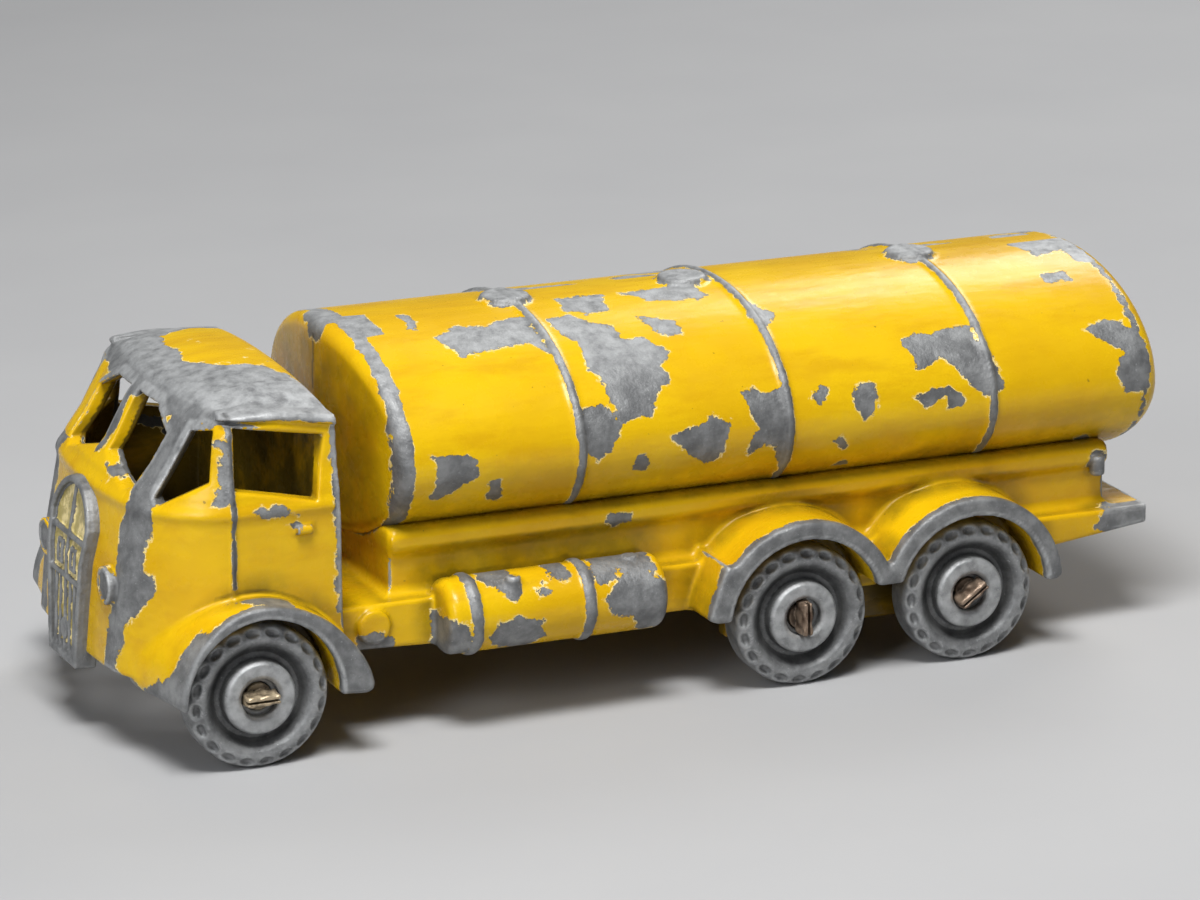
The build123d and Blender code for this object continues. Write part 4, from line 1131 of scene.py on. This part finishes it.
def axle_field(x, y, z):
    """A pin whose ends are hammered flat; seen with the blade lying level."""
    pin = meet(np.hypot(x, z) - AXLE_R, y - PIN_END_Y, 0.05)
    dent = 0.05 * np.sin(9.0 * x + 3.0) * np.sin(7.0 * y + 1.0)
    flat = np.abs(z) - BLADE_HALF_DEPTH + 0.12 * (y - 9.6) + dent
    blade = meet(np.abs(x) - BLADE_HALF_WIDTH, flat, 0.1)
    blade = meet(blade, span(y, *BLADE_Y), 0.12)
    slot = np.maximum(np.abs(z + 0.02) - 0.05, 9.95 - y)
    return join(pin, cut(blade, slot, 0.04), 0.05)


PIN_BOX = ((-0.95, 0, -0.95), (0.95, 10.6, 0.95))
WHEEL_BOX = ((-3.4, -0.2, -3.4), (3.4, 2.2, 3.4))

random = np.random.default_rng(7)
for axle, axle_x in AXLE_X.items():
    name = f"{axle}_axle_pin"
    pin = turned_piece(name, axle_field, *PIN_BOX, 0.055, True, STEEL[axle], not_rubbed)
    turn = Matrix.Rotation(math.radians(CRIMP_TURN[axle]), 4, "Y")
    pin.data.transform(Matrix.Translation((axle_x * MM, 0, WHEEL_R * MM)) @ turn)
    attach(pin, f"{axle}_axle_body")
    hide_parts(f"{axle}_axle")
    for side, sign in (("left", 1), ("right", -1)):
        name = f"{axle}_tyre_and_hub_{side}"
        wheel = turned_piece(name, wheel_field, *WHEEL_BOX, 0.08, False, zinc, hub_rubbed)
        turn = Matrix.Rotation(0.0 if sign > 0 else math.pi, 4, "Z")
        turn = turn @ Matrix.Rotation(random.uniform(0, math.pi), 4, "Y")
        place = (axle_x * MM, sign * (WHEEL_FACE_Y - WHEEL_T) * MM, WHEEL_R * MM)
        wheel.data.transform(Matrix.Translation(place) @ turn)
        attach(wheel, f"{axle}_wheel_{side}_body")
        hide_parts(f"{axle}_wheel_{side}")

# --- Stage: pale floor, soft lights, and the camera ---

FLOOR_HALF = 1.5
floor_mesh = bpy.data.meshes.new("floor")
floor_corners = [(-FLOOR_HALF, -FLOOR_HALF, 0), (FLOOR_HALF, -FLOOR_HALF, 0)]
floor_corners += [(FLOOR_HALF, FLOOR_HALF, 0), (-FLOOR_HALF, FLOOR_HALF, 0)]
floor_mesh.from_pydata(floor_corners, [], [(0, 1, 2, 3)])
floor = bpy.data.objects.new("floor", floor_mesh)
floor_mesh.materials.append(pale_paper())
bpy.context.scene.collection.objects.link(floor)

world = bpy.data.worlds.new("studio")
world.use_nodes = True
world.node_tree.nodes["Background"].inputs[0].default_value = (0.80, 0.83, 0.88, 1)
world.node_tree.nodes["Background"].inputs[1].default_value = 0.1
bpy.context.scene.world = world

LIT_PLACE = Vector((0.0, 0.0, 0.009))


def softbox(name, place, size, power, colour=(1, 1, 1)):
    light = bpy.data.lights.new(name, "AREA")
    light.shape = "RECTANGLE"
    light.size, light.size_y = size
    light.energy = power
    light.color = colour
    lamp = bpy.data.objects.new(name, light)
    lamp.location = place
    lamp.rotation_euler = (LIT_PLACE - Vector(place)).to_track_quat("-Z", "Y").to_euler()
    bpy.context.scene.collection.objects.link(lamp)


softbox("key_above", (0.05, 0.09, 0.26), (0.12, 0.08), 0.82)
softbox("fill_left", (0.22, 0.16, 0.14), (0.10, 0.14), 0.26, (0.95, 0.97, 1.0))
softbox("rim_behind", (-0.16, -0.14, 0.15), (0.12, 0.10), 0.2)

VIEW_YAW = math.radians(23.116)
VIEW_PITCH = math.radians(16.383)
VIEW_ROLL = math.radians(-0.823)
VIEW_DISTANCE = 250.4 * MM
VIEW_TARGET = Vector((3.52, WHEEL_FACE_Y, 12.23)) * MM

ahead = math.cos(VIEW_PITCH)
back = Vector((math.sin(VIEW_YAW) * ahead, math.cos(VIEW_YAW) * ahead, math.sin(VIEW_PITCH)))
level_right = Vector((-math.cos(VIEW_YAW), math.sin(VIEW_YAW), 0))
level_up = back.cross(level_right)
right = math.cos(VIEW_ROLL) * level_right + math.sin(VIEW_ROLL) * level_up
up = math.cos(VIEW_ROLL) * level_up - math.sin(VIEW_ROLL) * level_right
camera = bpy.data.objects.new("camera", bpy.data.cameras.new("camera"))
camera.data.lens = 173.6
camera.data.clip_start = 0.01
camera.matrix_world = Matrix.Translation(VIEW_TARGET + back * VIEW_DISTANCE) @ Matrix(
    (right, up, back)
).transposed().to_4x4()
bpy.context.scene.collection.objects.link(camera)
bpy.context.scene.camera = camera

bpy.context.scene.view_settings.view_transform = "Standard"
bpy.context.view_layer.update()
